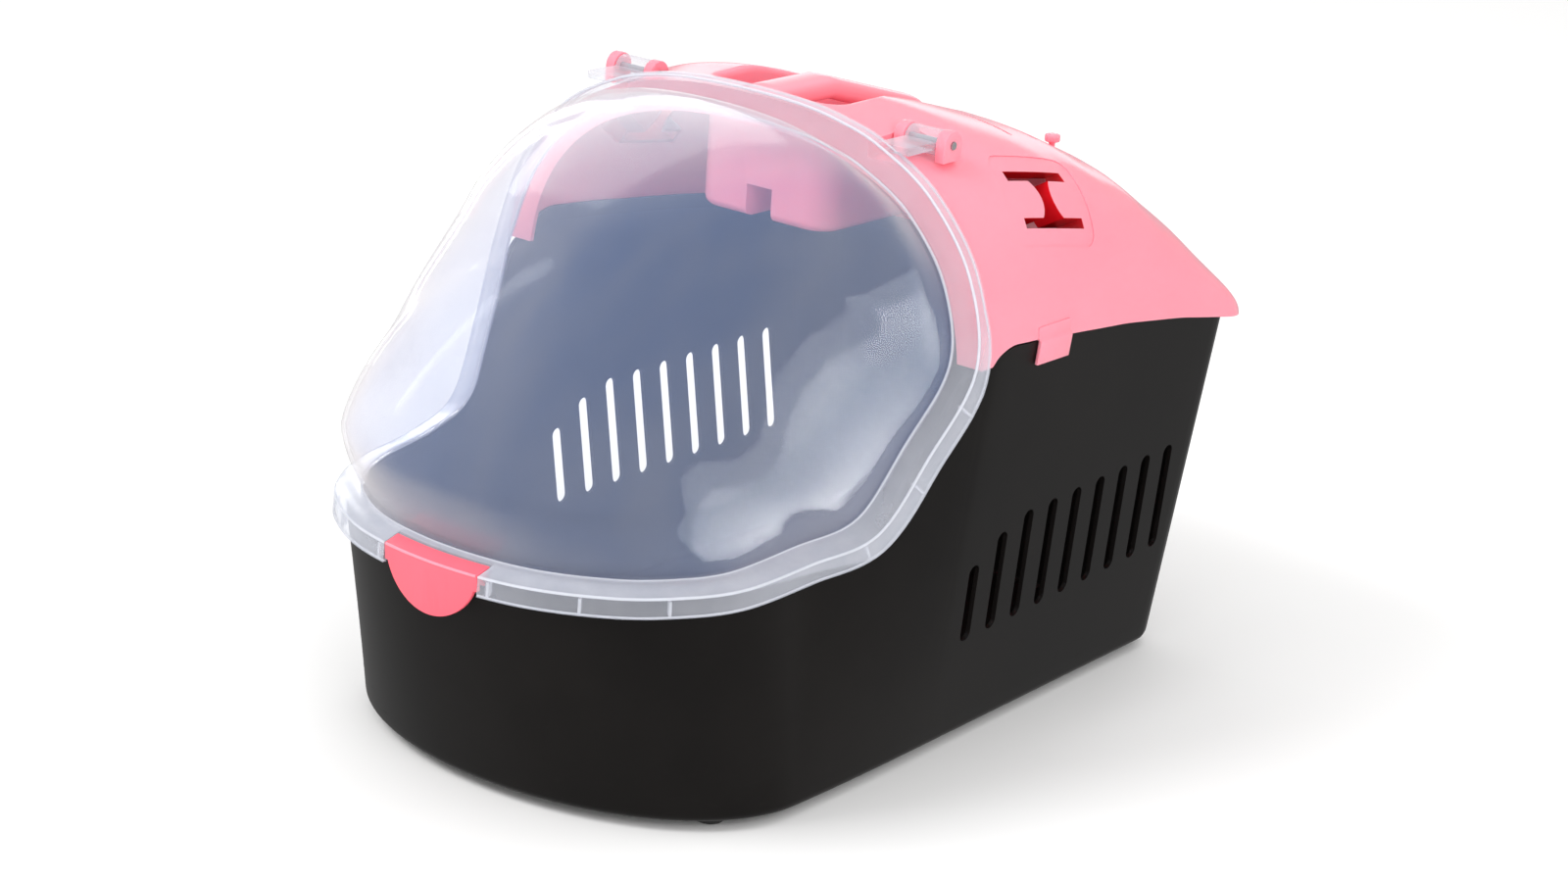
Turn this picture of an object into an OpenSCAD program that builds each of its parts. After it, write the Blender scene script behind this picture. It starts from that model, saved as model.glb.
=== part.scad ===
// Small-pet carrier: a black tub, a pink clip-on roof with a grip handle, and a clear dome door
// hinged on the roof. Front (the dome) is -Y, rear is +Y, +Z is up, in millimetres.
// The origin is on the ground under the middle of the carrier.

/* [Overall] */
// Distance from the origin to the front edge of the door frame
front_reach = 238; // [200:1:300]
// Distance from the origin to the rear edge of the roof
rear_reach = 241; // [200:1:300]
// Half width over the door frame where the roof meets the tub
shoulder_half = 156; // [125:1:200]
// Height of the door frame's front lip
lip_height = 124; // [100:1:150]
// Height where the roof meets the tub at the door
shoulder_height = 212; // [185:1:260]
// Height of the top of the door frame
arch_height = 319; // [285:1:370]

/* [Tub] */
// Half width of the tub's front bow
bow_half = 130; // [105:1:165]
// Distance from the origin to where the front bow starts
bow_start = 115; // [90:1:130]
// How far the base's front wall stands behind the lip
front_rake = 30; // [10:1:45]
// Half width of the base at its middle
base_half = 131; // [105:1:165]
// Wall thickness of the tub and of the roof
wall = 2.5; // [2:0.1:4]
// Height of the tub's floor above the ground
foot_height = 4; // [2:0.5:10]
// Radius of the rounded edge round the tub's floor
floor_round = 5; // [3:1:16]
// Radius of the rear corners
rear_corner = 28; // [15:1:40]

/* [Side vents] */
// Number of slots on each side
vent_count = 9; // [3:1:9]
// Distance between two slots
vent_pitch = 22; // [16:0.5:24]
// Width of a slot
vent_width = 8.5; // [4:0.5:12]
// Length of a slot
vent_length = 60; // [30:1:70]
// Height of the rearmost slot's lower end
vent_bottom = 64; // [40:1:80]

/* [Roof] */
// Height of the roof above the tub's step at the rear edge
roof_tail = 9; // [6:1:20]
// Width of the roof's flange behind the door frame
front_flange = 15; // [8:1:20]
// Length of a hooked tab that clips the roof on the tub
clip_length = 27; // [15:1:40]
// Length of a strap slot's bars
strap_bar = 47; // [30:1:60]
// Width of a strap slot's bars
strap_gap = 5.5; // [4.5:0.5:8]
// Height of a strap slot over its bars
strap_height = 31; // [20:1:36]
// Width of a roof vent slot
roof_vent_width = 3.5; // [3:0.5:8]

/* [Handle] */
// Half width of the finger recess
recess_half = 40; // [30:1:46]
// Length of the finger recess
recess_length = 114; // [80:1:124]
// Depth of the finger recess below the top of the door frame
recess_depth = 68; // [55:1:78]
// Width of the grip bar
grip_width = 22; // [16:1:28]
// Thickness of the grip bar
grip_thick = 12; // [8:1:16]

/* [Door] */
// Thickness of the door frame and of the dome
door_wall = 2.2; // [1.6:0.1:3]
// Width of the frame's band between its outer edge and the dome
band_width = 13; // [9:0.5:18]
// How far the band rises towards the dome
band_rise = 4; // [2:0.5:7]
// Gap between the frame's skirt and the tub's wall
skirt_gap = 2.4; // [1.5:0.1:4]
// Diameter of a hinge pin
pin_d = 4; // [3:0.5:5]
// Outer diameter of a hinge barrel
barrel_d = 13; // [10:0.5:15]
// Distance from the middle to the centre of a hinge
hinge_offset = 93; // [80:1:100]
// Length of a hinge barrel
barrel_length = 19; // [12:0.5:24]
// Radial running gap of a pin in its bore
running_gap = 0.06; // [0.03:0.01:0.1]

/* [Latch] */
// Width of the latch along the lip
latch_width = 59; // [40:1:64]
// Depth of the latch's tongue below the lip
tongue_drop = 27; // [20:1:34]
// Diameter of the latch's pivot pin
latch_pin_d = 2.4; // [2:0.1:3]
// Gap between the latch and the frame's cheeks
latch_gap = 0.6; // [0.4:0.1:1]
// Room behind the latch's top for its swing
latch_swing_gap = 1.6; // [1.4:0.1:2.5]

/* [Hidden] */

black = "#2b2726";
pink = "#ffa3b3";
deep_pink = "#ff8698";
milky = "#c9cdde";
clear = "#dfe6f2";
steel = "#b9bcc2";
rubber = "#1a1919";

sides = [-1, 1];

// ---- helpers -------------------------------------------------------------------------------

function mix(a, b, t) = a + (b - a) * t;
function unit(v) = v / norm(v);
function power(v, p) = sign(v) * pow(abs(v), p);

// A Catmull-Rom curve through p0..p3, between p1 and p2
function spline_point(p0, p1, p2, p3, t) =
    0.5 * (2 * p1 + (p2 - p0) * t + (2 * p0 - 5 * p1 + 4 * p2 - p3) * t * t
        + (3 * p1 - p0 - 3 * p2 + p3) * t * t * t);

// Closed smooth curve through the points, with the given steps between two of them
function closed_spline(points, steps) =
    let(n = len(points))
    [for (i = [0:n - 1]) for (k = [0:steps - 1])
        spline_point(points[(i + n - 1) % n], points[i], points[(i + 1) % n],
            points[(i + 2) % n], k / steps)];

// A half outline (x >= 0, first and last points on x = 0) mirrored into a closed one
function mirrored(half) =
    concat(half, [for (i = [len(half) - 2:-1:1]) [for (k = [0:len(half[i]) - 1])
        k == 0 ? -half[i][k] : half[i][k]]]);

function middle(loop) = [for (k = [0:2]) sum_of([for (p = loop) p[k]]) / len(loop)];
function sum_of(v, i = 0) = i >= len(v) ? 0 : v[i] + sum_of(v, i + 1);

// Solid between closed loops of equal length; both ends are closed to their middle. The loops
// run clockwise seen along the stack, or with turned set, the other way round
module loft(loops, turned = false) {
    n = len(loops[0]);
    rings = len(loops);
    points = concat([for (loop = loops) for (p = loop) p],
        [middle(loops[0]), middle(loops[rings - 1])]);
    walls = [for (j = [0:rings - 2]) for (i = [0:n - 1]) let(
        a = j * n + i, b = j * n + (i + 1) % n, c = a + n, d = b + n)
        each [[a, b, c], [b, d, c]]];
    first = [for (i = [0:n - 1]) [rings * n, (i + 1) % n, i]];
    last = [for (i = [0:n - 1]) let(k = (rings - 1) * n) [rings * n + 1, k + i, k + (i + 1) % n]];
    faces = concat(walls, first, last);
    polyhedron(points, turned ? [for (f = faces) [f[0], f[2], f[1]]] : faces, convexity = 10);
}

// Closed ring swept from sections of equal length
module ring(sections) {
    n = len(sections[0]);
    rings = len(sections);
    points = [for (s = sections) for (p = s) p];
    walls = [for (j = [0:rings - 1]) for (i = [0:n - 1]) let(
        a = j * n + i, b = j * n + (i + 1) % n,
        c = ((j + 1) % rings) * n + i, d = ((j + 1) % rings) * n + (i + 1) % n)
        each [[a, b, c], [b, d, c]]];
    polyhedron(points, walls, convexity = 10);
}

// Rounded upright block
module round_block(size, r, at) {
    translate(at)
        linear_extrude(size[2])
            union() {
                square([size[0] - 2 * r, size[1]], center = true);
                square([size[0], size[1] - 2 * r], center = true);
                for (x = sides, y = sides)
                    translate([x * (size[0] / 2 - r), y * (size[1] / 2 - r)])
                        circle(r, $fn = 32);
            }
}

module rod_x(r, length, at) {
    translate(at)
        rotate([0, 90, 0])
            cylinder(h = length, r = r, center = true, $fn = 40);
}

// ---- the door frame's knee line ------------------------------------------------------------

arch_y = -27;               // the arch stands in this plane
crown = (arch_height - shoulder_height) / 107;  // scales what hangs on the arch's height
arch_base = shoulder_height - 27 * crown;       // where the arch has its full width
arch_power = 2.51;
bow_power = 2.2;
elbow = [139.5 - 130 + bow_half, -78, lip_height + 12];
hip = [shoulder_half - 8, -54, mix(lip_height, shoulder_height, 0.53)];
shoulder = [shoulder_half, -32, shoulder_height];

function arch_half(z, half, top) =
    half * pow(1 - pow((z - arch_base) / (top - arch_base), arch_power), 1 / arch_power);
function bow_point(a, half, depth, p) =
    [half * power(sin(a), 2 / p), -bow_start - depth * power(cos(a), 2 / p)];

knee_steps = 5;
knee_half = concat(
    [for (a = [0, 20, 40, 56, 72, 90]) let(
        p = bow_point(a, bow_half, front_reach - bow_start, bow_power))
        [p[0], p[1], lip_height + (a > 70 ? 4 * (a - 70) / 20 : 0)]],
    [elbow, hip, shoulder],
    [for (a = [26, 46, 62, 72, 81]) let(
        z = arch_base + (arch_height - arch_base) * pow(sin(a), 2 / arch_power))
        [arch_half(z, shoulder_half + 1, arch_height), arch_y, z]],
    [[0, arch_y, arch_height]]);
knee = closed_spline(mirrored(knee_half), knee_steps);
knee_count = len(knee);

// Fraction of the way up from the lip to the shoulder
function rise_of(z) = (z - lip_height) / (shoulder_height - lip_height);
// Tilt of the frame's outward normal above the horizontal
function tilt_of(z) = lookup(rise_of(z), [[0.01, 90], [0.1, 62], [0.3, 36], [0.8, 36], [1.12, 0]]);
function skirt_of(z) = lookup(rise_of(z), [[0, 10], [0.3, 12], [0.9, 12], [1.3, 7]]);
function outward(p) = [0, -cos(tilt_of(p[2])), sin(tilt_of(p[2]))];
function along(i) = unit(knee[(i + 1) % knee_count] - knee[(i + knee_count - 1) % knee_count]);
function inward(i) = unit(cross(outward(knee[i]), along(i)));
// A point of the frame's section: u towards the dome, v out of the mouth
function frame_point(i, u, v) = knee[i] + u * inward(i) + v * outward(knee[i]);

// ---- tub -----------------------------------------------------------------------------------

tub_inset = door_wall + skirt_gap;
lip_drop = 3;               // the tub's rim below the frame's knee line
rim_step = wall + 2;        // how far the roof's seat steps inwards
seat_height = 5 * crown;    // how far the tub reaches up inside the roof
seam = 0.8;                 // open line between the tub's step and the roof's edge
side_spread = 0.107;        // how fast the side walls lean outwards
rear_spread = 0.06;
base_power = 2;             // roundness of the base's front bow
tub_rear = rear_reach - 18;

function side_x(y, z) = base_half - 1 + side_spread * z - 0.026 * y;
function rear_y(z) = tub_rear - 7 + rear_spread * z;

// Half outline of the tub's outside at a height, from the front middle to the rear middle
side_stops = [-100, -88, -81, -75, -69, -63, -57, -51, -45, -39, -34, -29, -24, -18, -15, -9, 2, 14,
    34, 60, 90, 120, 150];
function tub_half(z) = let(
    t = z / lip_height,
    half = mix(base_half + 1, bow_half - tub_inset, t),
    depth = mix(front_reach - front_rake - bow_start - tub_inset, front_reach - bow_start - tub_inset, t),
    p = mix(base_power, bow_power, min(1, t)))
    concat(
        [for (a = [0:7.5:90]) let(q = bow_point(a, half, depth, p)) [q[0], q[1], z]],
        [for (y = side_stops) let(
            blend = min(1, (y + bow_start) / (bow_start - 5)),
            ease = 1 - pow(1 - blend, mix(1.4, 1.8, max(0, rise_of(z)))))
            [mix(half, side_x(y, z), ease), y, z]],
        [for (a = [0:15:90]) let(x = side_x(rear_y(z) - rear_corner, z))
            [x - rear_corner + rear_corner * cos(a), rear_y(z) - rear_corner * (1 - sin(a)), z]],
        [for (k = [0.66, 0.33, 0]) [k * (side_x(rear_y(z), z) - rear_corner), rear_y(z), z]]);

function tub_loop(z) = mirrored(tub_half(z));
// Moves a loop inwards in plan; d may be one number or one per point
function inset(loop, d) = let(n = len(loop))
    [for (i = [0:n - 1]) let(
        t = unit([for (k = [0:1]) loop[(i + 1) % n][k] - loop[(i + n - 1) % n][k]]),
        m = is_list(d) ? d[i] : d)
        [loop[i][0] - t[1] * m, loop[i][1] + t[0] * m, loop[i][2]]];

// Lower edge of the roof along the side
function roof_edge(y) = lookup(y, [[-30, shoulder_height - 3], [-15, shoulder_height - 2],
    [-9, shoulder_height + 2], [2, shoulder_height + 5], [25, shoulder_height + 4],
    [55, shoulder_height + 1], [107, shoulder_height - 4], [157, shoulder_height - 11],
    [rear_reach - 30, shoulder_height - 21], [rear_reach, shoulder_height - 25]]);
// Top of the tub's outer wall along the side
rim_path = [for (p = knee) let(a = tilt_of(p[2]))
    if (p[0] > 0 && p[2] < shoulder_height - 8)
        [p[1] + lip_drop * cos(a), p[2] - lip_drop * sin(a)]];
function rim_z(y) = y < rim_path[len(rim_path) - 1][0] ? lookup(y, rim_path) : lookup(y, [
    rim_path[len(rim_path) - 1],
    [-24, shoulder_height - 3 - seam],
    [-15, roof_edge(-15) - seam],
    [-9, roof_edge(-9) - seam],
    [2, roof_edge(2) - seam],
    [25, roof_edge(25) - seam],
    [107, roof_edge(107) - seam],
    [157, roof_edge(157) - seam],
    [rear_reach - 30, roof_edge(rear_reach - 30) - seam],
    [rear_reach, roof_edge(rear_reach) - seam]]);
// How much of the roof's seat there is: none at the mouth, full behind it
function seat_of(y) = lookup(y, [[-19, 0.08], [-14, 1]]);

rim_loop = [for (p = tub_loop(lip_height)) rim_z(p[1])];
rim_seat = [for (p = tub_loop(lip_height)) seat_of(p[1])];

// The tub's loop at a fraction of each wall's own height
function tub_ring(f, drop = 0) =
    [for (i = [0:len(tub_low) - 1]) let(
        z = mix(foot_height + floor_round, rim_loop[i], f) + drop * (seat_height + 1) * rim_seat[i],
        t = z / lip_height,
        at = tub_at(i, t))
        [at[0], at[1], z]];
function tub_at(i, t) = let(
    low = tub_low[i],
    high = tub_high[i],
    mid = tub_mid[i],
    bow = 4 * max(0, t) * max(0, 1 - t),
    straight = mix(low, high, t),
    half_way = mix(low, high, 0.5))
    straight + (mid - half_way) * bow;
tub_low = tub_loop(0);
tub_mid = tub_loop(lip_height / 2);
tub_high = tub_loop(lip_height);

function floor_ring(a) = let(
    z = foot_height + floor_round * (1 - cos(a)),
    loop = [for (i = [0:len(tub_low) - 1]) let(at = tub_at(i, z / lip_height)) [at[0], at[1], z]])
    inset(loop, floor_round * (1 - sin(a)));
function raised(loop, dz) = [for (p = loop) [p[0], p[1], p[2] + dz]];

module tub_body() {
    outside = concat(
        [for (a = [10, 35, 60]) floor_ring(a)],
        [for (f = [0, 0.33, 0.67, 1]) tub_ring(f)],
        [inset(tub_ring(1), [for (s = rim_seat) rim_step * s]),
            inset(tub_ring(1, 1), [for (s = rim_seat) rim_step * s])]);
    inside = concat(
        [inset(tub_ring(1, 1), [for (s = rim_seat) rim_step * s + wall]),
            inset(tub_ring(1, -0.8), [for (s = rim_seat) rim_step * s + wall]),
            inset(tub_ring(0.86), wall)],
        [for (f = [0.5, 0.04]) inset(tub_ring(f), wall)],
        [for (a = [50, 10]) raised(inset(floor_ring(a), wall), wall)]);
    loft(concat(outside, inside), turned = true);
}

vent_lean = 3.5;            // the slots lean back by this angle
vent_fall = 0.7;            // each slot starts this much lower than the one behind it
vent_shorter = [18, 6];     // how much shorter the two foremost slots are
vent_rear = rear_reach - 59;

// One slot on each side, cut through the whole width
module side_vent(k) {
    place = vent_count - 1 - k;
    height = vent_length - vent_width - (place < 2 ? vent_shorter[place] : 0);
    across = 2 * shoulder_half;
    translate([0, vent_rear - vent_pitch * k, vent_bottom - vent_fall * k + vent_width / 2])
        rotate([vent_lean, 0, 0]) {
            rod_x(vent_width / 2, across, [0, 0, 0]);
            rod_x(vent_width / 2, across, [0, 0, height]);
            translate([-across / 2, -vent_width / 2, 0])
                cube([across, vent_width, height]);
        }
}

front_foot = [base_half - 27, -(bow_start + 33)];
rear_foot = [base_half - 21, rear_reach - 91];
foot_spots = [
    [-front_foot[0], front_foot[1]], front_foot, [-rear_foot[0], rear_foot[1]], rear_foot
];
foot_r = 8;
stem_r = 2.6;
stem_gap = 0.1;

module foot(k) {
    at = foot_spots[k];
    color(rubber)
        translate([at[0], at[1], 0]) {
            cylinder(h = foot_height - 0.02, r1 = foot_r - 1, r2 = foot_r, $fn = 40);
            cylinder(h = foot_height + wall + 1.4, r = stem_r, $fn = 32);
            translate([0, 0, foot_height + wall + 0.3])
                cylinder(h = 1.8, r1 = stem_r + 0.8, r2 = stem_r - 0.6, $fn = 32);
        }
}

// Notch in the tub's rim that leaves room for the latch's body
latch_room_side = 5;
latch_room_depth = 12;
module latch_room() {
    translate([-latch_width / 2 - latch_room_side, -front_reach - 2, lip_height - latch_room_depth])
        cube([latch_width + 2 * latch_room_side, 16, 20]);
}

// Small lip on the tub's front that the latch's barb hooks under
keeper_z = lip_height - 21;
keeper_half = 9;
keeper_reach = 1.8;
keeper_thick = 2;
keeper_y = tub_half(keeper_z)[0][1] - keeper_reach;
module latch_keeper() {
    translate([-keeper_half, keeper_y, keeper_z - keeper_thick])
        cube([2 * keeper_half, keeper_reach + wall / 2, keeper_thick]);
}

module base_tub() {
    color(black)
        difference() {
            union() {
                tub_body();
                latch_keeper();
            }
            for (k = [0:vent_count - 1])
                side_vent(k);
            for (at = foot_spots)
                translate([at[0], at[1], 0])
                    cylinder(h = 20, r = stem_r + stem_gap, $fn = 32);
            latch_room();
        }
}

// ---- roof ----------------------------------------------------------------------------------

roof_lap = 1.2;             // gap between the roof's front edge and the door's skirt
roof_front = arch_y + door_wall + roof_lap;
roof_half = shoulder_half - 1.5;
roof_run = rear_reach / 241;    // stretches the roof's stations along it
function roof_top(y) = lookup(y, [
    [roof_front, arch_height - door_wall - roof_lap],
    for (q = [[35, 3.5], [70, 13], [105, 22.5], [140, 37], [175, 61], [205, 88]])
        [q[0] * roof_run, arch_height - q[1] * crown],
    [rear_reach - 13, arch_height - 111 * crown],
    [rear_reach, roof_edge(rear_reach) + roof_tail]]);
// Where a section has its full width, a little below the roof's edge
function roof_base(y) = min(arch_base, roof_edge(y) - 2);
function roof_power(y) = lookup(y, [[roof_front, 2.5], [70, 3.3], [rear_reach, 3.3]]);
function roof_width(y) = let(r = rear_corner, e = y - (rear_reach - r))
    roof_half - 0.026 * (y + 14) - (e > 0 ? r - sqrt(max(0, r * r - e * e)) : 0);

arc_steps = 22;
// Where a section's curve starts when its edge is above the curve's lowest point
function low_angle(edge, base, top, p) =
    asin(pow(max(0, edge - base) / (top - base), p / 2));
// The roof's section at y: an arch from edge to edge, moved inwards by t
function roof_arch(y, t, edge) = let(
    w = roof_width(y) - t,
    top = roof_top(y) - t,
    base = roof_base(y),
    p = roof_power(y),
    low = low_angle(edge, base, top, p))
    [for (k = [0:2 * arc_steps]) let(
        a = mix(low, 180 - low, k / (2 * arc_steps)),
        z = base + (top - base) * pow(sin(a), 2 / p))
        [w * power(cos(a), 2 / p), y, k == 0 || k == 2 * arc_steps ? min(z, edge) : z]];

roof_stops = concat([roof_front, -18, -15, -9, 2],
    [for (y = [14, 30, 50, 70, 88, 106, 124, 142, 160, 178, 196]) y * roof_run],
    [for (d = [30, 22, 14, 8, 3.5, 1, 0]) rear_reach - d]);

// Height of the roof's skin at a place
function skin_z(x, y) = roof_base(y) + (roof_top(y) - roof_base(y))
    * pow(1 - pow(x / roof_width(y), roof_power(y)), 1 / roof_power(y));

// Solid under the roof's skin
module roof_solid() {
    loft([for (y = roof_stops) roof_arch(y, 0, roof_edge(y))]);
}

// Space under the roof's skin, behind its front flange, and through the flange to the mouth
module roof_space() {
    below = 12;
    back = roof_front + wall;
    stops = concat([back], [for (y = roof_stops) if (y > back + 1 && y < rear_reach - wall) y],
        [rear_reach - wall]);
    loft([for (y = stops) roof_arch(y, wall, roof_edge(y) - below)]);
    loft([for (y = [roof_front - 1, back + 1]) roof_arch(y, front_flange, roof_edge(y) - below)]);
}

recess_front = -6;
recess_mid = recess_front + recess_length / 2;
recess_floor = arch_height - recess_depth;
recess_corner = 12;
saddle_half = 10.5;         // the raised floor under the grip bar
saddle_top = recess_floor + 17;
seat_length = 8;
seat_gap = 0.3;
grip_rise = 2;              // how far the grip stands above the roof's top
function grip_top(y) = roof_top(y) + grip_rise;

// The finger recess round the grip, grown by t
module finger_recess(t) {
    difference() {
        round_block([2 * (recess_half + t), recess_length + 2 * t, recess_depth + 20],
            recess_corner + t, [0, recess_mid, recess_floor - t]);
        translate([-(saddle_half - t), recess_front - 20, recess_floor - 20])
            cube([2 * (saddle_half - t), recess_length + 40, saddle_top - t - recess_floor + 20]);
    }
}

// Seats for the grip's two ends, grown by t
module grip_seats(t) {
    for (end = [0, 1]) {
        y = end == 0 ? recess_front - seat_length : recess_front + recess_length;
        low = grip_top(end == 0 ? y : y + seat_length) - grip_thick;
        translate([-grip_width / 2 - seat_gap - t, y - (end == 0 ? seat_gap + t : 1), low - t])
            cube([grip_width + 2 * (seat_gap + t), seat_length + 1 + seat_gap + t, 60]);
    }
}

// Pockets for the door's hinge barrels, grown by t
hinge_y = 2;
hinge_z = arch_height - 12.5;
pocket_half = barrel_length / 2 + 7;
pocket_gap = 3;             // room behind a barrel in its pocket
pocket_floor = hinge_z - barrel_d / 2 - 1.6;
module hinge_pockets(t) {
    front = roof_front - 4;
    back = hinge_y + barrel_d / 2 + pocket_gap + t;
    for (s = sides)
        translate([s * hinge_offset - pocket_half - t, front, pocket_floor - t])
            cube([2 * (pocket_half + t), back - front, 60]);
}

// I-shaped strap slot in its own plane
strap_waist = 9;
strap_curve = 15;
module strap_outline() {
    difference() {
        square([strap_bar / 2, strap_height], center = true);
        for (s = sides)
            translate([s * (strap_waist / 2 + strap_curve), 0])
                circle(strap_curve, $fn = 64);
    }
    for (s = sides)
        translate([0, s * (strap_height - strap_gap) / 2])
            square([strap_bar, strap_gap], center = true);
}
strap_y = 53;
strap_z = mix(shoulder_height, arch_height, 0.617);
strap_out = 0.87;           // share of the roof's half width
strap_lean = 29;            // lean of the roof's skin at the slot
strap_tilt = 9.5;           // fall of the slot's bars towards the rear
strap_cut = 40;
module strap_slot(side) {
    translate([side * roof_width(strap_y) * strap_out, strap_y, strap_z])
        rotate([0, -side * strap_lean, 0])
            rotate([90, 0, 90])
                translate([0, 0, -strap_cut / 2])
                    rotate([0, 0, -strap_tilt])
                        linear_extrude(strap_cut)
                            strap_outline();
}

// Roof vents: place along the roof, and where each starts and ends across it
roof_vents = [[78, 50, 90], [104, 50, 88], [124, 50, 102]];
module roof_vent(v, side) {
    for (x = [v[1], v[2]])
        translate([side * x, v[0] * roof_run, shoulder_height])
            cylinder(h = arch_height, r = roof_vent_width / 2, $fn = 32);
    translate([side > 0 ? v[1] : -v[2], v[0] * roof_run - roof_vent_width / 2, shoulder_height])
        cube([v[2] - v[1], roof_vent_width, arch_height]);
}

stud_spot = [76, 136 * roof_run];
stud_r = 4;
peg_r = 1.6;
stud_base = skin_z(stud_spot[0], stud_spot[1]) + 2.2;   // underside of a stud's head

// Hooked tab that holds the roof on the tub
clip_y = 37;
clip_drop = 12;
module roof_clip(side) {
    z = roof_edge(clip_y);
    x = side_x(clip_y - clip_length / 2, z) + 0.4;
    low = z - clip_drop;
    lean = side_spread * clip_drop;
    thick = 2;
    skin = roof_width(clip_y);
    mirror([side > 0 ? 0 : 1, 0, 0])
        translate([0, clip_y + clip_length / 2, 0])
            rotate([90, 0, 0])
                linear_extrude(clip_length)
                    polygon([[x - lean, low], [x - lean + thick, low], [x + thick, z],
                        [x + thick, z + 3], [skin - 0.4, z + 7], [skin - wall + 0.4, z + 7],
                        [skin - wall + 0.4, z + 0.4], [x, z + 0.4]]);
}

module roof_shell() {
    color(pink)
        difference() {
            union() {
                difference() {
                    roof_solid();
                    finger_recess(0);
                    grip_seats(0);
                    hinge_pockets(0);
                }
                for (s = sides)
                    roof_clip(s);
            }
            difference() {
                roof_space();
                finger_recess(wall);
                grip_seats(wall);
                hinge_pockets(wall);
            }
            for (s = sides) {
                strap_slot(s);
                for (v = roof_vents)
                    roof_vent(v, s);
                translate([s * stud_spot[0], stud_spot[1], shoulder_height])
                    cylinder(h = arch_height, r = peg_r, $fn = 32);
            }
            for (at = grip_screws)
                translate([0, at, shoulder_height])
                    cylinder(h = arch_height, r = screw_r + screw_gap, $fn = 32);
        }
}

module roof_stud(side) {
    color(pink)
        translate([side * stud_spot[0], stud_spot[1], stud_base]) {
            translate([0, 0, -7])
                cylinder(h = 9, r = peg_r, $fn = 32);
            cylinder(h = 4, r = stud_r, $fn = 40);
        }
}

// ---- grip handle ---------------------------------------------------------------------------

screw_r = 1.3;
screw_head_r = 2.2;
screw_gap = 0.3;
screw_inset = wall + screw_head_r + 0.4;
grip_screws = [recess_front - screw_inset, recess_front + recess_length + screw_inset];
grip_ends = [recess_front - seat_length, recess_front + recess_length + seat_length];

function grip_section(y, f) = let(
    w = grip_width / 2 * f,
    top = grip_top(y) - (1 - f) * grip_thick * 0.6,
    low = grip_top(y) - grip_thick + 0.1,
    mid = (top + low) / 2,
    h = (top - low) / 2)
    [for (a = [0:15:345]) [w * power(cos(a), 0.62), y, mid + h * power(sin(a), 0.62)]];

// Size of the grip's section at a distance from its nearer end
grip_round = 8;
function grip_fill(e) = e > grip_round ? 1 : mix(0.6, 1, sqrt(1 - pow(1 - e / grip_round, 2)));

module carry_handle() {
    length = grip_ends[1] - grip_ends[0];
    stops = [0, 0.008, 0.025, 0.06, 0.14, 0.25, 0.38, 0.5, 0.62, 0.75, 0.86, 0.94, 0.975, 0.992, 1];
    color(deep_pink)
        difference() {
            loft([for (f = stops)
                grip_section(grip_ends[0] + f * length, grip_fill(min(f, 1 - f) * length))]);
            for (at = grip_screws)
                translate([0, at, grip_top(at) - grip_thick - 1])
                    cylinder(h = 8, r = screw_r, $fn = 32);
        }
}

module handle_screws() {
    head = 2.1;
    color(steel)
        for (k = [0, 1])
            translate([0, grip_screws[k], grip_top(grip_ends[k]) - grip_thick - wall - head - 0.1]) {
                cylinder(h = wall + 8, r = screw_r, $fn = 32);
                cylinder(h = head, r = screw_head_r, $fn = 6);
            }
}

// ---- hinges --------------------------------------------------------------------------------

ear_thick = 5.5;
ear_gap = 0.4;
ear_r = barrel_d / 2 + 0.6;
pin_r = pin_d / 2;
ear_spots = [-(barrel_length + ear_thick) / 2 - ear_gap, (barrel_length + ear_thick) / 2 + ear_gap];

module hinge_ear(side) {
    color(pink)
        difference() {
            for (e = ear_spots) {
                x = side * hinge_offset + e;
                rod_x(ear_r, ear_thick, [x, hinge_y, hinge_z]);
                translate([x - ear_thick / 2, hinge_y - ear_r, pocket_floor])
                    cube([ear_thick, 2 * ear_r, hinge_z - pocket_floor]);
            }
            rod_x(pin_r, 3 * barrel_length, [side * hinge_offset, hinge_y, hinge_z]);
        }
}

module hinge_pin(side) {
    color(steel)
        rod_x(pin_r, barrel_length + 2 * (ear_thick + ear_gap) + 1,
            [side * hinge_offset, hinge_y, hinge_z]);
}

// ---- door ----------------------------------------------------------------------------------

function frame_section(i) = let(
    z = knee[i][2],
    s = skirt_of(z),
    w = door_wall)
    [for (q = [[0, 0], [band_width * 0.5, band_rise * 0.45], [band_width, band_rise],
        [band_width, band_rise - w], [band_width * 0.5, band_rise * 0.45 - w], [w, -w],
        [w - 0.6, -s], [-0.6, -s]])
        frame_point(i, q[0], q[1])];

arm_thick = 4;
module hinge_arm(side) {
    x = side * hinge_offset - barrel_length / 2;
    reach = hinge_y - arch_y - door_wall / 2;
    rod_x(barrel_d / 2, barrel_length, [side * hinge_offset, hinge_y, hinge_z]);
    translate([x, hinge_y - reach, hinge_z - arm_thick / 2 - 0.5])
        cube([barrel_length, reach, arm_thick]);
}

cheek = 2.4;
latch_half = latch_width / 2;
strip_depth = 3;            // the frame's strip that stays behind the latch
module latch_opening() {
    difference() {
        translate([-latch_half - latch_gap, -front_reach - 5, lip_height - 40])
            cube([latch_width + 2 * latch_gap, 5 + band_width, 60]);
        translate([0, -front_reach + bow_r, lip_height - 50])
            cylinder(h = 80, r = bow_r - band_width + strip_depth, $fn = 180);
    }
}

latch_axis = [-front_reach + 8, lip_height - 3.2];
module latch_cheeks() {
    for (s = sides)
        translate([s * (latch_half + latch_gap + cheek / 2) - cheek / 2,
            -front_reach + 2.6, lip_height - 9.5])
            cube([cheek, 8, 9]);
}

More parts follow.
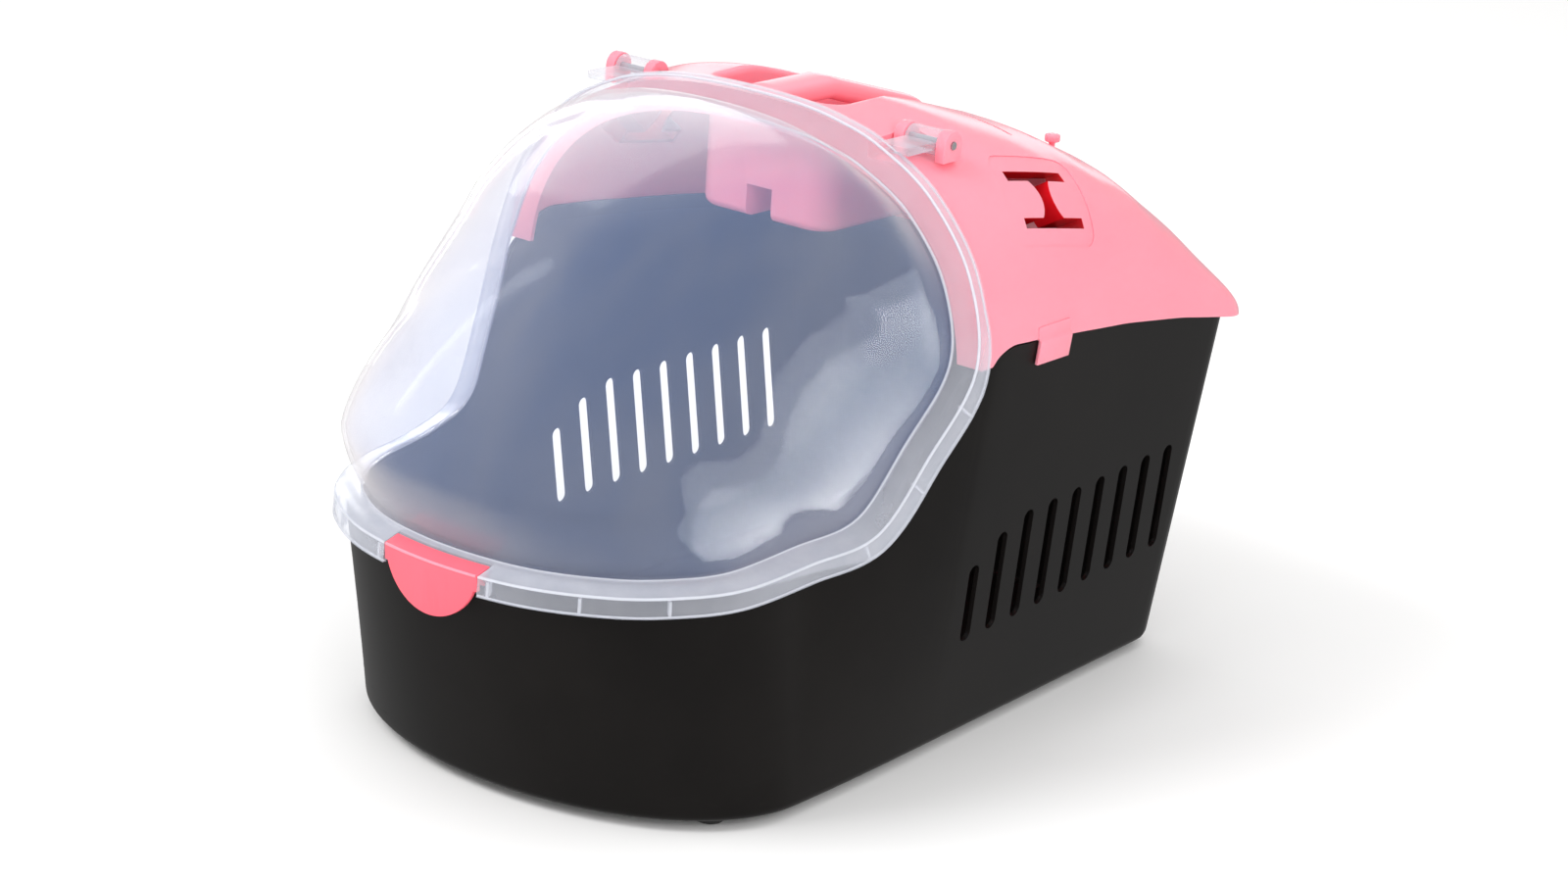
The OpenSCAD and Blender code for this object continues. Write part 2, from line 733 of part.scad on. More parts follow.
module door_frame() {
    color(milky, 0.8)
        difference() {
            union() {
                difference() {
                    union() {
                        ring([for (i = [0:knee_count - 1]) frame_section(i)]);
                        for (s = sides)
                            hinge_arm(s);
                    }
                    latch_opening();
                }
                latch_cheeks();
            }
            for (s = sides)
                rod_x(pin_r + running_gap, barrel_length + 2, [s * hinge_offset, hinge_y, hinge_z]);
            rod_x(latch_pin_d / 2, latch_width + 20, [0, latch_axis[0], latch_axis[1]]);
        }
}

// The dome: a swollen star shape round dome_centre that meets the frame's band
dome_centre = [0, -49, lip_height + 38];
dome_axes = [bow_half + 11.4, front_reach - 50, arch_height - lip_height - 29];
dome_powers = [2.27, 1.34];
function dome_reach(d) = let(
    x = abs(d[0]) / dome_axes[0], y = abs(d[1]) / dome_axes[1], z = abs(d[2]) / dome_axes[2])
    pow(pow(x, dome_powers[0]) + pow(pow(y, dome_powers[1]) + pow(z, dome_powers[1]),
        dome_powers[0] / dome_powers[1]), -1 / dome_powers[0]);
dome_top = unit([0, -1, 1]);
dome_loop = [for (i = [0:knee_count - 1]) frame_point(i, band_width + 0.1, band_rise)];

function dome_point(i, f, t) = let(
    r = dome_loop[i] - dome_centre,
    d0 = unit(r),
    d = unit(mix(d0, dome_top, f)),
    ratio = norm(r) / dome_reach(d0))
    dome_centre + d * (dome_reach(d) * (1 + (ratio - 1) * pow(1 - f, 2)) - t);

module dome_window() {
    levels = [0, 0.06, 0.14, 0.25, 0.38, 0.52, 0.68, 0.84, 0.97];
    outside = [for (f = levels) [for (i = [0:knee_count - 1]) dome_point(i, f, 0)]];
    inside = [for (k = [len(levels) - 1:-1:0]) [for (i = [0:knee_count - 1])
        dome_point(i, levels[k], door_wall)]];
    color(clear, 0.35)
        loft(concat([for (k = [len(outside) - 1:-1:0]) outside[k]],
            [for (k = [len(inside) - 1:-1:0]) inside[k]]));
}

// ---- latch ---------------------------------------------------------------------------------

bow_r = 190;                // radius of the lip seen from above
module latch_ring(profile) {
    half_angle = 14;
    translate([0, -front_reach + bow_r, 0])
        rotate([0, 0, -90 - half_angle])
            rotate_extrude(angle = 2 * half_angle, $fn = 180)
                polygon(profile);
}

module latch_tongue() {
    w = door_wall;
    r = bow_r;
    z = lip_height;
    drop = tongue_drop;
    reach = band_width - strip_depth - latch_swing_gap;
    color(deep_pink)
        difference() {
            intersection() {
                union() {
                    latch_ring([[r, z], [r - reach, z + band_rise * reach / band_width],
                        [r - reach, z + band_rise * reach / band_width - w], [r - w, z - w],
                        [r - w - 1.4, z - drop], [r - 1.4, z - drop]]);
                    rod_x(3, latch_width, [0, latch_axis[0], latch_axis[1]]);
                    translate([-latch_half, latch_axis[0] - 3.5, latch_axis[1]])
                        cube([latch_width, 5, 3.5]);
                    latch_barb();
                }
                translate([0, -front_reach + 30, z + 10])
                    rotate([90, 0, 0])
                        linear_extrude(60)
                            union() {
                                translate([-latch_half, -18])
                                    square([latch_width, 30]);
                                translate([0, -10 - drop + latch_half])
                                    intersection() {
                                        circle(latch_half, $fn = 96);
                                        translate([-latch_half, -latch_half])
                                            square([latch_width, latch_width]);
                                    }
                            }
            }
            rod_x(latch_pin_d / 2 + running_gap, latch_width + 20, [0, latch_axis[0], latch_axis[1]]);
            translate([-4, latch_axis[0] - 4.2, latch_axis[1] - 4])
                cube([8, 10, 8]);
        }
}

// Barb behind the tongue that hooks under the tub's keeper
barb_half = 8;
barb_length = 6;
barb_hold = 0.8;            // how far the barb reaches under the keeper
barb_drop = 1.3;            // gap between the keeper and the barb
barb_thick = 2;
module latch_barb() {
    translate([-barb_half, keeper_y + barb_hold - barb_length,
        keeper_z - keeper_thick - barb_drop - barb_thick])
        cube([2 * barb_half, barb_length, barb_thick]);
}

module latch_pin() {
    color(steel)
        rod_x(latch_pin_d / 2, latch_width + 2 * latch_gap + 2 * cheek,
            [0, latch_axis[0], latch_axis[1]]);
}

module latch_spring() {
    color(steel)
        difference() {
            union() {
                rod_x(latch_pin_d / 2 + 1, 6.4, [0, latch_axis[0], latch_axis[1]]);
                translate([-0.5, latch_axis[0] - latch_pin_d / 2 - 1, latch_axis[1] - 8])
                    cube([1, 1, 8]);
            }
            rod_x(latch_pin_d / 2 + running_gap, 10, [0, latch_axis[0], latch_axis[1]]);
        }
}

base_tub();
foot(0);  // foot_front_left
foot(1);  // foot_front_right
foot(2);  // foot_rear_left
foot(3);  // foot_rear_right
roof_shell();
hinge_ear(-1);  // hinge_ear_left
hinge_ear(1);  // hinge_ear_right
hinge_pin(-1);  // hinge_pin_left
hinge_pin(1);  // hinge_pin_right
roof_stud(-1);  // roof_stud_left
roof_stud(1);  // roof_stud_right
carry_handle();
handle_screws();
door_frame();
dome_window();
latch_tongue();
latch_pin();
latch_spring();
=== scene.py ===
import math

import bpy
import numpy as np
from mathutils import Matrix, Vector


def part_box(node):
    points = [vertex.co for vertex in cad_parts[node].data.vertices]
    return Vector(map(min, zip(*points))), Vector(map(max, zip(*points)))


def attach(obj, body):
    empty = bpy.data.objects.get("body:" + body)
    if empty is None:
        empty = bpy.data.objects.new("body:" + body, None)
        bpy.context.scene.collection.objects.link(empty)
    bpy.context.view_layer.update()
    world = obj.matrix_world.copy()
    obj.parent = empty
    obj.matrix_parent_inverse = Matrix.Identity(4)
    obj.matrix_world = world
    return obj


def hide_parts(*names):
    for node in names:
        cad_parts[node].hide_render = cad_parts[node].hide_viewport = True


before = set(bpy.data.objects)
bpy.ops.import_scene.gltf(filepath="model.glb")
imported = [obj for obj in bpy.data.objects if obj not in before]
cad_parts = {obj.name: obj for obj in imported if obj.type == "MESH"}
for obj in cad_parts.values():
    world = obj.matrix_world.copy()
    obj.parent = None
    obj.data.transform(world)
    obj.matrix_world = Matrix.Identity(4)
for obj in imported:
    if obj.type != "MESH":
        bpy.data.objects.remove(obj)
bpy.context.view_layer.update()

print("frame loaded with", len(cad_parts), "nodes")

mm = 0.001  # shapes are worked out in millimetres and placed in metres
cutHeight = 60  # of the blocks that cut, more than any piece needs


def edge(node, side, axis):
    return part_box(node)[side]["xyz".index(axis)] / mm


def mix(a, b, t):
    return a + (b - a) * t


def power(value, exponent):
    return math.copysign(abs(value) ** exponent, value)


def table(x, pairs):
    return float(np.interp(x, [p[0] for p in pairs], [p[1] for p in pairs]))


def spline(points, steps, closed):
    # a smooth curve through every point, along the first direction of the array
    points = np.asarray(points, float)
    if closed:
        before, after, last = np.roll(points, 1, 0), np.roll(points, -1, 0), np.roll(points, -2, 0)
    else:
        padded = np.concatenate([2 * points[:1] - points[1:2], points, 2 * points[-1:] - points[-2:-1]])
        before, after, last = padded[:-3], padded[2:-1], padded[3:]
        points, end = padded[1:-2], points[-1:]
    pieces = []
    for k in range(steps):
        t = k / steps
        pieces.append(0.5 * (2 * points + (after - before) * t
                             + (2 * before - 5 * points + 4 * after - last) * t * t
                             + (3 * points - before - 3 * after + last) * t ** 3))
    joined = np.stack(pieces, 1).reshape((-1,) + points.shape[1:])
    return joined if closed else np.concatenate([joined, end])


def unit(vectors):
    return vectors / np.maximum(np.linalg.norm(vectors, axis=-1, keepdims=True), 1e-9)


def mirrored(half):
    # a half outline from the middle plane and back to it, closed by its other half
    half = np.asarray(half, float)
    other = half[-2:0:-1] * np.array([-1.0] + [1.0] * (half.shape[1] - 1))
    return np.concatenate([half, other])


def inset(loop, distance):
    along = unit((np.roll(loop, -1, 0) - np.roll(loop, 1, 0))[:, :2])
    moved = loop.copy()
    moved[:, 0] -= along[:, 1] * distance
    moved[:, 1] += along[:, 0] * distance
    return moved


def alone(piece):
    if bpy.context.object and bpy.context.object.mode != "OBJECT":
        bpy.ops.object.mode_set(mode="OBJECT")
    bpy.ops.object.select_all(action="DESELECT")
    piece.select_set(True)
    bpy.context.view_layer.objects.active = piece
    return piece


def editAll(piece, *steps):
    # runs edit-mode operators on the whole mesh
    alone(piece)
    bpy.ops.object.mode_set(mode="EDIT")
    bpy.ops.mesh.select_all(action="SELECT")
    for step in steps:
        step()
    bpy.ops.object.mode_set(mode="OBJECT")
    return piece


def mergeDoubles():
    bpy.ops.mesh.remove_doubles(threshold=1e-6)


def faceOut():
    bpy.ops.mesh.normals_make_consistent(inside=False)


def skin(name, net, closedAlong=False, closedAcross=False, ends=False):
    # a grid primitive whose rows take the places in net
    net = np.asarray(net, float)
    if closedAcross:
        net = np.concatenate([net, net[:, :1]], 1)
    if closedAlong:
        net = np.concatenate([net, net[:1]], 0)
    bpy.ops.object.select_all(action="DESELECT")
    bpy.ops.mesh.primitive_grid_add(x_subdivisions=net.shape[1] - 1, y_subdivisions=net.shape[0] - 1, size=1)
    piece = bpy.context.object
    piece.name = name
    piece.data.name = name
    piece.data.vertices.foreach_set("co", (net * mm).ravel())
    piece.data.update()
    while piece.data.uv_layers:
        piece.data.uv_layers.remove(piece.data.uv_layers[0])
    steps = [mergeDoubles]
    if ends:
        steps += [lambda: bpy.ops.mesh.select_all(action="DESELECT"),
                  lambda: bpy.ops.mesh.select_non_manifold(),
                  lambda: bpy.ops.mesh.edge_face_add(),
                  lambda: bpy.ops.mesh.select_all(action="SELECT")]
    return editAll(piece, *steps, faceOut)


def modify(piece, kind, **settings):
    alone(piece)
    modifier = piece.modifiers.new(kind.title(), kind)
    for key, value in settings.items():
        setattr(modifier, key, value)
    bpy.ops.object.modifier_apply(modifier=modifier.name)
    return piece


def carve(piece, tool, how="DIFFERENCE"):
    modify(piece, "BOOLEAN", operation=how, object=tool, solver="EXACT", use_self=False)
    bpy.data.objects.remove(tool)
    return piece


def join(*pieces):
    alone(pieces[0])
    for piece in pieces[1:]:
        piece.select_set(True)
    bpy.ops.object.join()
    return pieces[0]


def smooth(piece, degrees=35):
    alone(piece)
    bpy.ops.object.shade_smooth_by_angle(angle=math.radians(degrees))
    return piece


def softEdges(piece, width, degrees=40, segments=2):
    modify(piece, "BEVEL", width=width * mm, segments=segments, limit_method="ANGLE",
           angle_limit=math.radians(degrees), miter_outer="MITER_ARC")
    return smooth(piece)


def block(name, size, at, rounding=0):
    bpy.ops.object.select_all(action="DESELECT")
    bpy.ops.mesh.primitive_cube_add(size=1, location=Vector(at) * mm)
    piece = bpy.context.object
    piece.name = name
    piece.scale = Vector(size) * mm
    bpy.ops.object.transform_apply(location=True, rotation=True, scale=True)
    if rounding:
        modify(piece, "BEVEL", width=rounding * mm, segments=3, limit_method="ANGLE")
    return piece


def rod(name, radius, length, at, axis, sides, tip=0):
    turn = {"X": (0, math.pi / 2, 0), "Z": (0, 0, 0)}[axis]
    bpy.ops.object.select_all(action="DESELECT")
    bpy.ops.mesh.primitive_cylinder_add(vertices=sides, radius=radius * mm, depth=length * mm,
                                        location=Vector(at) * mm, rotation=turn)
    piece = bpy.context.object
    piece.name = name
    bpy.ops.object.transform_apply(location=True, rotation=True, scale=True)
    if tip:
        modify(piece, "BEVEL", width=tip * mm, segments=3, limit_method="ANGLE")
    return piece


def copyOf(node):
    # a merged copy of a CAD node's mesh, to soften
    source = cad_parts[node]
    piece = bpy.data.objects.new(node + "Soft", source.data.copy())
    bpy.context.scene.collection.objects.link(piece)
    piece.data.materials.clear()
    return editAll(piece, lambda: bpy.ops.mesh.remove_doubles(threshold=2e-6),
                   lambda: bpy.ops.mesh.dissolve_limited(angle_limit=math.radians(0.5)))


def finish(piece, material, slotName, bodyName, *nodes):
    piece.data.materials.clear()
    piece.data.materials.append(material)
    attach(piece, bodyName)
    if nodes:
        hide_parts(*nodes)
    return piece


class Wire:
    # a socket that can be used in sums

    def __init__(self, tree, socket):
        self.tree, self.socket = tree, socket

    def get(self, kind, output=0, settings=None, **inputs):
        # inputs go by their sockets' names without spaces, or by number as i0 and i1
        node = self.tree.nodes.new(kind)
        for key, value in (settings or {}).items():
            setattr(node, key, value)
        names = [s.name.replace(" ", "") for s in node.inputs]
        for key, value in inputs.items():
            index = int(key[1:]) if key[1:].isdigit() else names.index(key)
            if isinstance(value, Wire):
                self.tree.links.new(value.socket, node.inputs[index])
            else:
                node.inputs[index].default_value = value
        return Wire(self.tree, node.outputs[output])

    def math(self, operation, other, turned=False):
        first, second = (other, self) if turned else (self, other)
        return self.get("ShaderNodeMath", 0, {"operation": operation}, i0=first, i1=second)

    def __add__(self, other):
        return self.math("ADD", other)

    def __sub__(self, other):
        return self.math("SUBTRACT", other)

    def __rsub__(self, other):
        return self.math("SUBTRACT", other, True)

    def __mul__(self, other):
        return self.math("MULTIPLY", other)

    __radd__ = __add__
    __rmul__ = __mul__

    def between(self, low, high):
        return self * (high - low) + low

    def clamped(self, low, high):
        return self.get("ShaderNodeMapRange", 0, {"clamp": True}, Value=self, FromMin=low, FromMax=high)

    def noise(self, scale, detail=2.0, roughness=0.5):
        return self.get("ShaderNodeTexNoise", 0, None, Vector=self, Scale=scale, Detail=detail,
                        Roughness=roughness)

    def stretched(self, scale):
        return self.get("ShaderNodeMapping", 0, None, Vector=self, Scale=scale)

    def blend(self, first, second):
        # self is the share of second
        first = first if isinstance(first, Wire) else (*first, 1)
        return self.get("ShaderNodeMix", 2, {"data_type": "RGBA"}, i0=self, i6=first, i7=(*second, 1))


def newMaterial(name, paint, **constants):
    material = bpy.data.materials.new(name)
    material.use_nodes = True
    tree = material.node_tree
    shader = tree.nodes["Principled BSDF"]
    for key, value in constants.items():
        shader.inputs[key].default_value = value
    place = Wire(tree, tree.nodes.new("ShaderNodeTexCoord").outputs["Object"])
    for key, wire in paint(place).items():
        tree.links.new(wire.socket, shader.inputs[key])
    return material


def heightOf(place):
    return place.get("ShaderNodeSeparateXYZ", 2, None, Vector=place)


def bump(place, height, strength, distance):
    return place.get("ShaderNodeBump", 0, None, Strength=strength, Distance=distance, Height=height)


midNoise = (0.3, 0.7)  # the part of a noise's range that holds most of its values

# plain numbers in the looks are noise scales, shares or roughnesses; a zone is two heights in metres,
# and a bump is its strength and its distance in metres
tubLook = {
    "dark": (0.0050, 0.0042, 0.0039),
    "light": (0.0090, 0.0076, 0.0070),
    "dust": (0.025, 0.021, 0.019),
    "dustShare": 0.45,
    "dustZone": (0.004, 0.045),
    "dustRoughness": 0.15,
    "roughness": (0.36, 0.44),
    "grainRoughness": 0.02,
    "drift": 11.0,
    "grain": 1500.0,
    "scuff": 60.0,
    "bump": (0.05, 0.0003),
}


def paintTub(place):
    drift = place.noise(tubLook["drift"], 3.0)
    grain = place.noise(tubLook["grain"], 2.0)
    scuff = place.stretched((1.0, 1.0, 4.0)).noise(tubLook["scuff"], 5.0, 0.7).clamped(0.60, 0.78)
    low = 1 - heightOf(place).clamped(*tubLook["dustZone"])
    base = drift.clamped(*midNoise).blend(tubLook["dark"], tubLook["light"])
    dusty = scuff * low
    return {
        "Base Color": (dusty * tubLook["dustShare"]).blend(base, tubLook["dust"]),
        "Roughness": (drift.between(*tubLook["roughness"]) + dusty * tubLook["dustRoughness"]
                      + grain * tubLook["grainRoughness"]),
        "Normal": bump(place, grain * 0.12 + drift * 3.0, *tubLook["bump"]),
    }


pinkLook = {
    "roof": ((1.0, 0.285, 0.358), (1.0, 0.315, 0.390)),
    "latch": ((1.0, 0.125, 0.172), (1.0, 0.145, 0.196)),
    "grip": ((1.0, 0.300, 0.370), (1.0, 0.330, 0.400)),
    # the strap slots' deep red: painted shade inside the slots, on their collars
    "slot": ((0.60, 0.006, 0.012), (0.72, 0.010, 0.018)),
    "roughness": 0.13,
    "drift": 9.0,
    "swirl": 38.0,
    "peel": 420.0,
    "fine": 2600.0,
    "bump": (0.06, 0.0003),
    "glow": {"Subsurface Weight": 0.5, "Subsurface Radius": (1.0, 0.45, 0.45), "Subsurface Scale": 0.004},
}


def paintPink(pair):
    def paint(place):
        drift = place.noise(pinkLook["drift"], 2.0)
        swirl = place.stretched((1.0, 0.35, 1.0)).noise(pinkLook["swirl"], 4.0, 0.6)
        peel = place.noise(pinkLook["peel"], 1.0)
        fine = place.noise(pinkLook["fine"], 2.0)
        return {
            "Base Color": (drift * 0.7 + swirl * 0.3).clamped(*midNoise).blend(*pair),
            "Roughness": swirl * 0.07 + fine * 0.03 + pinkLook["roughness"],
            "Normal": bump(place, peel * 0.6 + fine * 0.2, *pinkLook["bump"]),
        }
    return paint


milkyLook = {
    "thin": (0.66, 0.69, 0.78),
    "thick": (0.74, 0.76, 0.84),
    "line": (0.86, 0.88, 0.94),  # painted highlights along the frame's edges, also worn by its ribs
    "alpha": (0.15, 0.19),
    "lineAlpha": (0.42, 0.67),
    "rim": 0.45,
    "rimBlend": 0.35,
    "lowBandHighlight": 0.13,  # how much denser, and so lighter, the frame's band is made low down: a painted highlight
    "lowZone": (0.15, 0.24),
    "bandZone": (0.1225, 0.1242),  # the front's flat band begins here, above its skirt
    "cloud": 55.0,
    "lineCloud": 70.0,
    "fine": 1800.0,
    "bump": (0.015, 0.0003),
}


def paintMilky(place):
    cloud = place.noise(milkyLook["cloud"], 4.0, 0.6)
    fine = place.noise(milkyLook["fine"], 2.0)
    rim = place.get("ShaderNodeLayerWeight", 1, None, Blend=milkyLook["rimBlend"])
    lowBandHighlight = 1 - heightOf(place).clamped(*milkyLook["lowZone"])
    band = heightOf(place).clamped(*milkyLook["bandZone"])
    density = cloud.between(*milkyLook["alpha"]) + lowBandHighlight * band * milkyLook["lowBandHighlight"]
    return {
        "Base Color": cloud.clamped(*midNoise).blend(milkyLook["thin"], milkyLook["thick"]),
        "Roughness": cloud * 0.08 + fine * 0.05 + 0.16,
        "Alpha": (density + rim * milkyLook["rim"]).clamped(0.0, 1.0),
        "Normal": bump(place, cloud + fine * 0.1, *milkyLook["bump"]),
    }


# the frame's edge beads: painted highlights in a lighter, denser milky plastic; the ribs share this look
def paintRibAndHighlight(place):
    cloud = place.noise(milkyLook["lineCloud"], 3.0)
    return {
        "Base Color": cloud.blend(milkyLook["line"], milkyLook["thick"]),
        "Roughness": cloud * 0.1 + 0.14,
        "Alpha": cloud.between(*milkyLook["lineAlpha"]),
    }


domeLook = {
    "haze": (0.37, 0.48, 0.80),
    "veil": (0.54, 0.61, 0.84),
    "glare": (0.95, 0.91, 0.93),  # where the wall is seen edge-on
    "glareShare": (0.2, 0.75),
    "alpha": 0.115,
    "veilAlpha": 0.03,
    "rim": 0.50,
    "rimBlend": 0.40,
    "veilScale": 16.0,
    "streak": 170.0,
    "bump": (0.012, 0.0006),
}


def paintDome(place):
    veil = place.stretched((1.0, 0.4, 0.4)).noise(domeLook["veilScale"], 3.0, 0.55)
    streak = place.stretched((1.0, 0.06, 0.06)).noise(domeLook["streak"], 3.0, 0.6)
    edgeOn = place.get("ShaderNodeLayerWeight", 1, None, Blend=domeLook["rimBlend"])
    haze = veil.clamped(0.35, 0.7).blend(domeLook["haze"], domeLook["veil"])
    density = edgeOn * edgeOn * domeLook["rim"] + veil * domeLook["veilAlpha"] + domeLook["alpha"]
    return {
        "Base Color": edgeOn.clamped(*domeLook["glareShare"]).blend(haze, domeLook["glare"]),
        "Roughness": streak * 0.04 + 0.08,
        "Alpha": density.clamped(0.0, 1.0),
        "Normal": bump(place, veil, *domeLook["bump"]),
    }


steelLook = {
    "dark": (0.50, 0.50, 0.52),
    "light": (0.68, 0.68, 0.70),
    "roughness": (0.22, 0.40),
    "lines": 2600.0,
    "bump": (0.08, 0.0001),
}


def paintSteel(place):
    lines = place.stretched((0.04, 1.0, 1.0)).noise(steelLook["lines"], 3.0)
    return {
        "Base Color": lines.blend(steelLook["dark"], steelLook["light"]),
        "Roughness": lines.between(*steelLook["roughness"]),
        "Normal": bump(place, lines, *steelLook["bump"]),
    }


rubberLook = {
    "dark": (0.010, 0.010, 0.010),
    "light": (0.020, 0.019, 0.019),
    "roughness": (0.62, 0.77),
    "grain": 1400.0,
    "bump": (0.20, 0.0003),
}


def paintRubber(place):
    grain = place.noise(rubberLook["grain"], 3.0)
    return {
        "Base Color": grain.blend(rubberLook["dark"], rubberLook["light"]),
        "Roughness": grain.between(*rubberLook["roughness"]),
        "Normal": bump(place, grain, *rubberLook["bump"]),
    }


tubPlastic = newMaterial("tubPlastic", paintTub, **{"IOR": 1.48, "Specular IOR Level": 0.16})
roofPlastic = newMaterial("roofPlastic", paintPink(pinkLook["roof"]), IOR=1.5, **pinkLook["glow"])
gripPlastic = newMaterial("gripPlastic", paintPink(pinkLook["grip"]), IOR=1.5)
latchPlastic = newMaterial("latchPlastic", paintPink(pinkLook["latch"]), IOR=1.5)
milkyPlastic = newMaterial("milkyPlastic", paintMilky, IOR=1.5)
milkyRibAndHighlight = newMaterial("milkyRibAndHighlight", paintRibAndHighlight, IOR=1.5)
clearPlastic = newMaterial("clearPlastic", paintDome, IOR=1.5)
steel = newMaterial("pinSteel", paintSteel, Metallic=1.0)
rubber = newMaterial("footRubber", paintRubber)
# deep red for the slot collars: painted shade
strapSlotShade = newMaterial("strapSlotShade", paintPink(pinkLook["slot"]), IOR=1.45)
print("materials made")


hull = {  # lengths in millimetres, angles in degrees
    "frontReach": -edge("latch_tongue", 0, "y"),
    "rearReach": edge("roof_shell", 1, "y"),
    "bowHalf": 130,
    "bowStart": 115,
    "bowPower": 2.2,
    "basePower": 2.0,
    "bowAngles": (0, 20, 40, 56, 72, 90),
    "liftAngle": 70,  # the lip climbs past this angle, by a millimetre in every liftPace degrees
    "liftPace": 5,
    "frontRake": 30,
    "baseHalf": 131,
    "lipHeight": 124,
    "shoulderHalf": 156,
    "shoulderHeight": 212,
    "archHeight": 319,
    "archPlane": -27,
    "archBase": 185,
    "archPower": 2.51,
    "archAngles": (26, 46, 62, 72, 81, 90),
    "tilts": ((0.01, 90), (0.1, 62), (0.3, 36), (0.8, 36), (1.12, 0)),  # share of the rise, angle
    "sideSpread": 0.107,
    "sideTaper": 0.026,
    "rearInset": 25,
    "rearRake": 0.06,
    "rearCorner": 28,
    # the roof's lower edge: y and the height above the shoulder, and its end, measured from the rear
    "edgeLine": ((-30, -3), (-15, -2), (-9, 2), (2, 5), (25, 4), (55, 1), (107, -4), (157, -11)),
    "edgeRear": ((30, -21), (0, -25)),
    "wall": 2.5,
    "floor": edge("base_tub", 0, "z"),
    "floorDip": 0.2,  # the walls' shape starts this far below the floor
    "floorRound": 5,
}
frontDepth = hull["frontReach"] - hull["bowStart"]
lipHeight = hull["lipHeight"]


def rise(z):
    # share of the way from the lip to the shoulder
    return (z - lipHeight) / (hull["shoulderHeight"] - lipHeight)


def bowPoint(angle, half, depth, exponent):
    a = math.radians(angle)
    y = -hull["bowStart"] - depth * power(math.cos(a), 2 / exponent)
    return half * power(math.sin(a), 2 / exponent), y


def archPoint(angle):
    base, height, exponent = hull["archBase"], hull["archHeight"], hull["archPower"]
    z = base + (height - base) * math.sin(math.radians(angle)) ** (2 / exponent)
    share = (z - base) / (height - base)
    x = (hull["shoulderHalf"] + 1) * max(0, 1 - share ** exponent) ** (1 / exponent)
    return x, hull["archPlane"], z


# the knee line's points between the bow and the arch
elbow = (hull["bowHalf"] + 9.5, -78, lipHeight + 12)
hip = (hull["shoulderHalf"] - 8, -54, mix(lipHeight, hull["shoulderHeight"], 0.53))
shoulder = (hull["shoulderHalf"], -32, hull["shoulderHeight"])


def kneeLine(steps):
    # the outer corner of the door frame's section, once round
    front = [(*bowPoint(a, hull["bowHalf"], frontDepth, hull["bowPower"]),
              lipHeight + max(0, a - hull["liftAngle"]) / hull["liftPace"]) for a in hull["bowAngles"]]
    top = [archPoint(a) for a in hull["archAngles"]]
    return spline(mirrored(front + [elbow, hip, shoulder] + top), steps, True)


def tiltOf(z):
    return math.radians(table(rise(z), hull["tilts"]))


def frameAxes(knee):
    tilts = np.array([tiltOf(p[2]) for p in knee])
    outward = np.stack([np.zeros(len(knee)), -np.cos(tilts), np.sin(tilts)], 1)
    along = unit(np.roll(knee, -1, 0) - np.roll(knee, 1, 0))
    return unit(np.cross(outward, along)), outward


tub = {
    "skirtGap": 4.6,  # from the frame's outer corner in to the tub's wall
    "lipDrop": 3.0,
    "kneeSteps": 5,
    "kneeEnd": 8,  # below the shoulder, where the rim leaves the knee line
    "rimCorner": (-24, -3),  # y, above the shoulder
    "seatStep": 4.5,
    "seatHeight": 6.0,
    "seatFade": ((-19, 0.08), (-14, 1)),  # the seat's step ends between these, going forward
    "seam": 0.8,
    "bowStep": 7.5,
    "flankStops": (-100, -88, -81, -75, -69, -63, -57, -51, -45, -39, -34, -29, -24, -18, -15, -9, 2,
                   14, 34, 60, 90, 120, 150),
    "flankEnd": -5,
    "flankEase": (1.4, 1.8),
    "wallRows": 26,
    "ventCount": 9,
    "ventRear": 59.0,
    "ventPitch": 22.0,
    "ventWidth": 8.5,
    "ventLength": 60.0,
    "ventBottom": 64.0,
    "ventDrop": 0.7,  # each vent stands this much lower than the one behind it
    "ventLean": 3.5,
    "ventCut": 400,
    "shortVents": {8: 18.0, 7: 6.0},
    "notch": (69, 16, 20),
    "notchAt": (6, -2),  # back from the front, above the lip
    "notchRound": 1.5,
    "keeper": (18, 3.2, 2.2),
    "keeperDrop": 22,
    "keeperOut": 0.4,
    "keeperRound": 0.5,
}


def sideX(y, z):
    return hull["baseHalf"] - 1 + hull["sideSpread"] * z - hull["sideTaper"] * y


def rearY(z):
    return hull["rearReach"] - hull["rearInset"] + hull["rearRake"] * z


def roofEdgeLine():
    rear, level = hull["rearReach"], hull["shoulderHeight"]
    line = [(y, level + up) for y, up in hull["edgeLine"]]
    return line + [(rear - back, level + up) for back, up in hull["edgeRear"]]


def roofEdge(y):
    return table(y, roofEdgeLine())


def tubOutline(z):
    t = z / lipHeight
    half = mix(hull["baseHalf"] + 1, hull["bowHalf"] - tub["skirtGap"], t)
    depth = mix(frontDepth - hull["frontRake"], frontDepth, t) - tub["skirtGap"]
    exponent = mix(hull["basePower"], hull["bowPower"], min(1, t))
    points = [(*bowPoint(a, half, depth, exponent), z) for a in np.arange(0, 90.1, tub["bowStep"])]
    for y in tub["flankStops"]:
        share = min(1, (y + hull["bowStart"]) / (hull["bowStart"] + tub["flankEnd"]))
        ease = 1 - (1 - share) ** mix(*tub["flankEase"], max(0, rise(z)))
        points.append((mix(half, sideX(y, z), ease), y, z))
    corner, rear = hull["rearCorner"], rearY(z)
    flank = sideX(rear - corner, z)
    for angle in range(0, 91, 15):
        a = math.radians(angle)
        points.append((flank - corner + corner * math.cos(a), rear - corner * (1 - math.sin(a)), z))
    points += [(k * (sideX(rear, z) - corner), rear, z) for k in (0.66, 0.33, 0)]
    return mirrored(points)


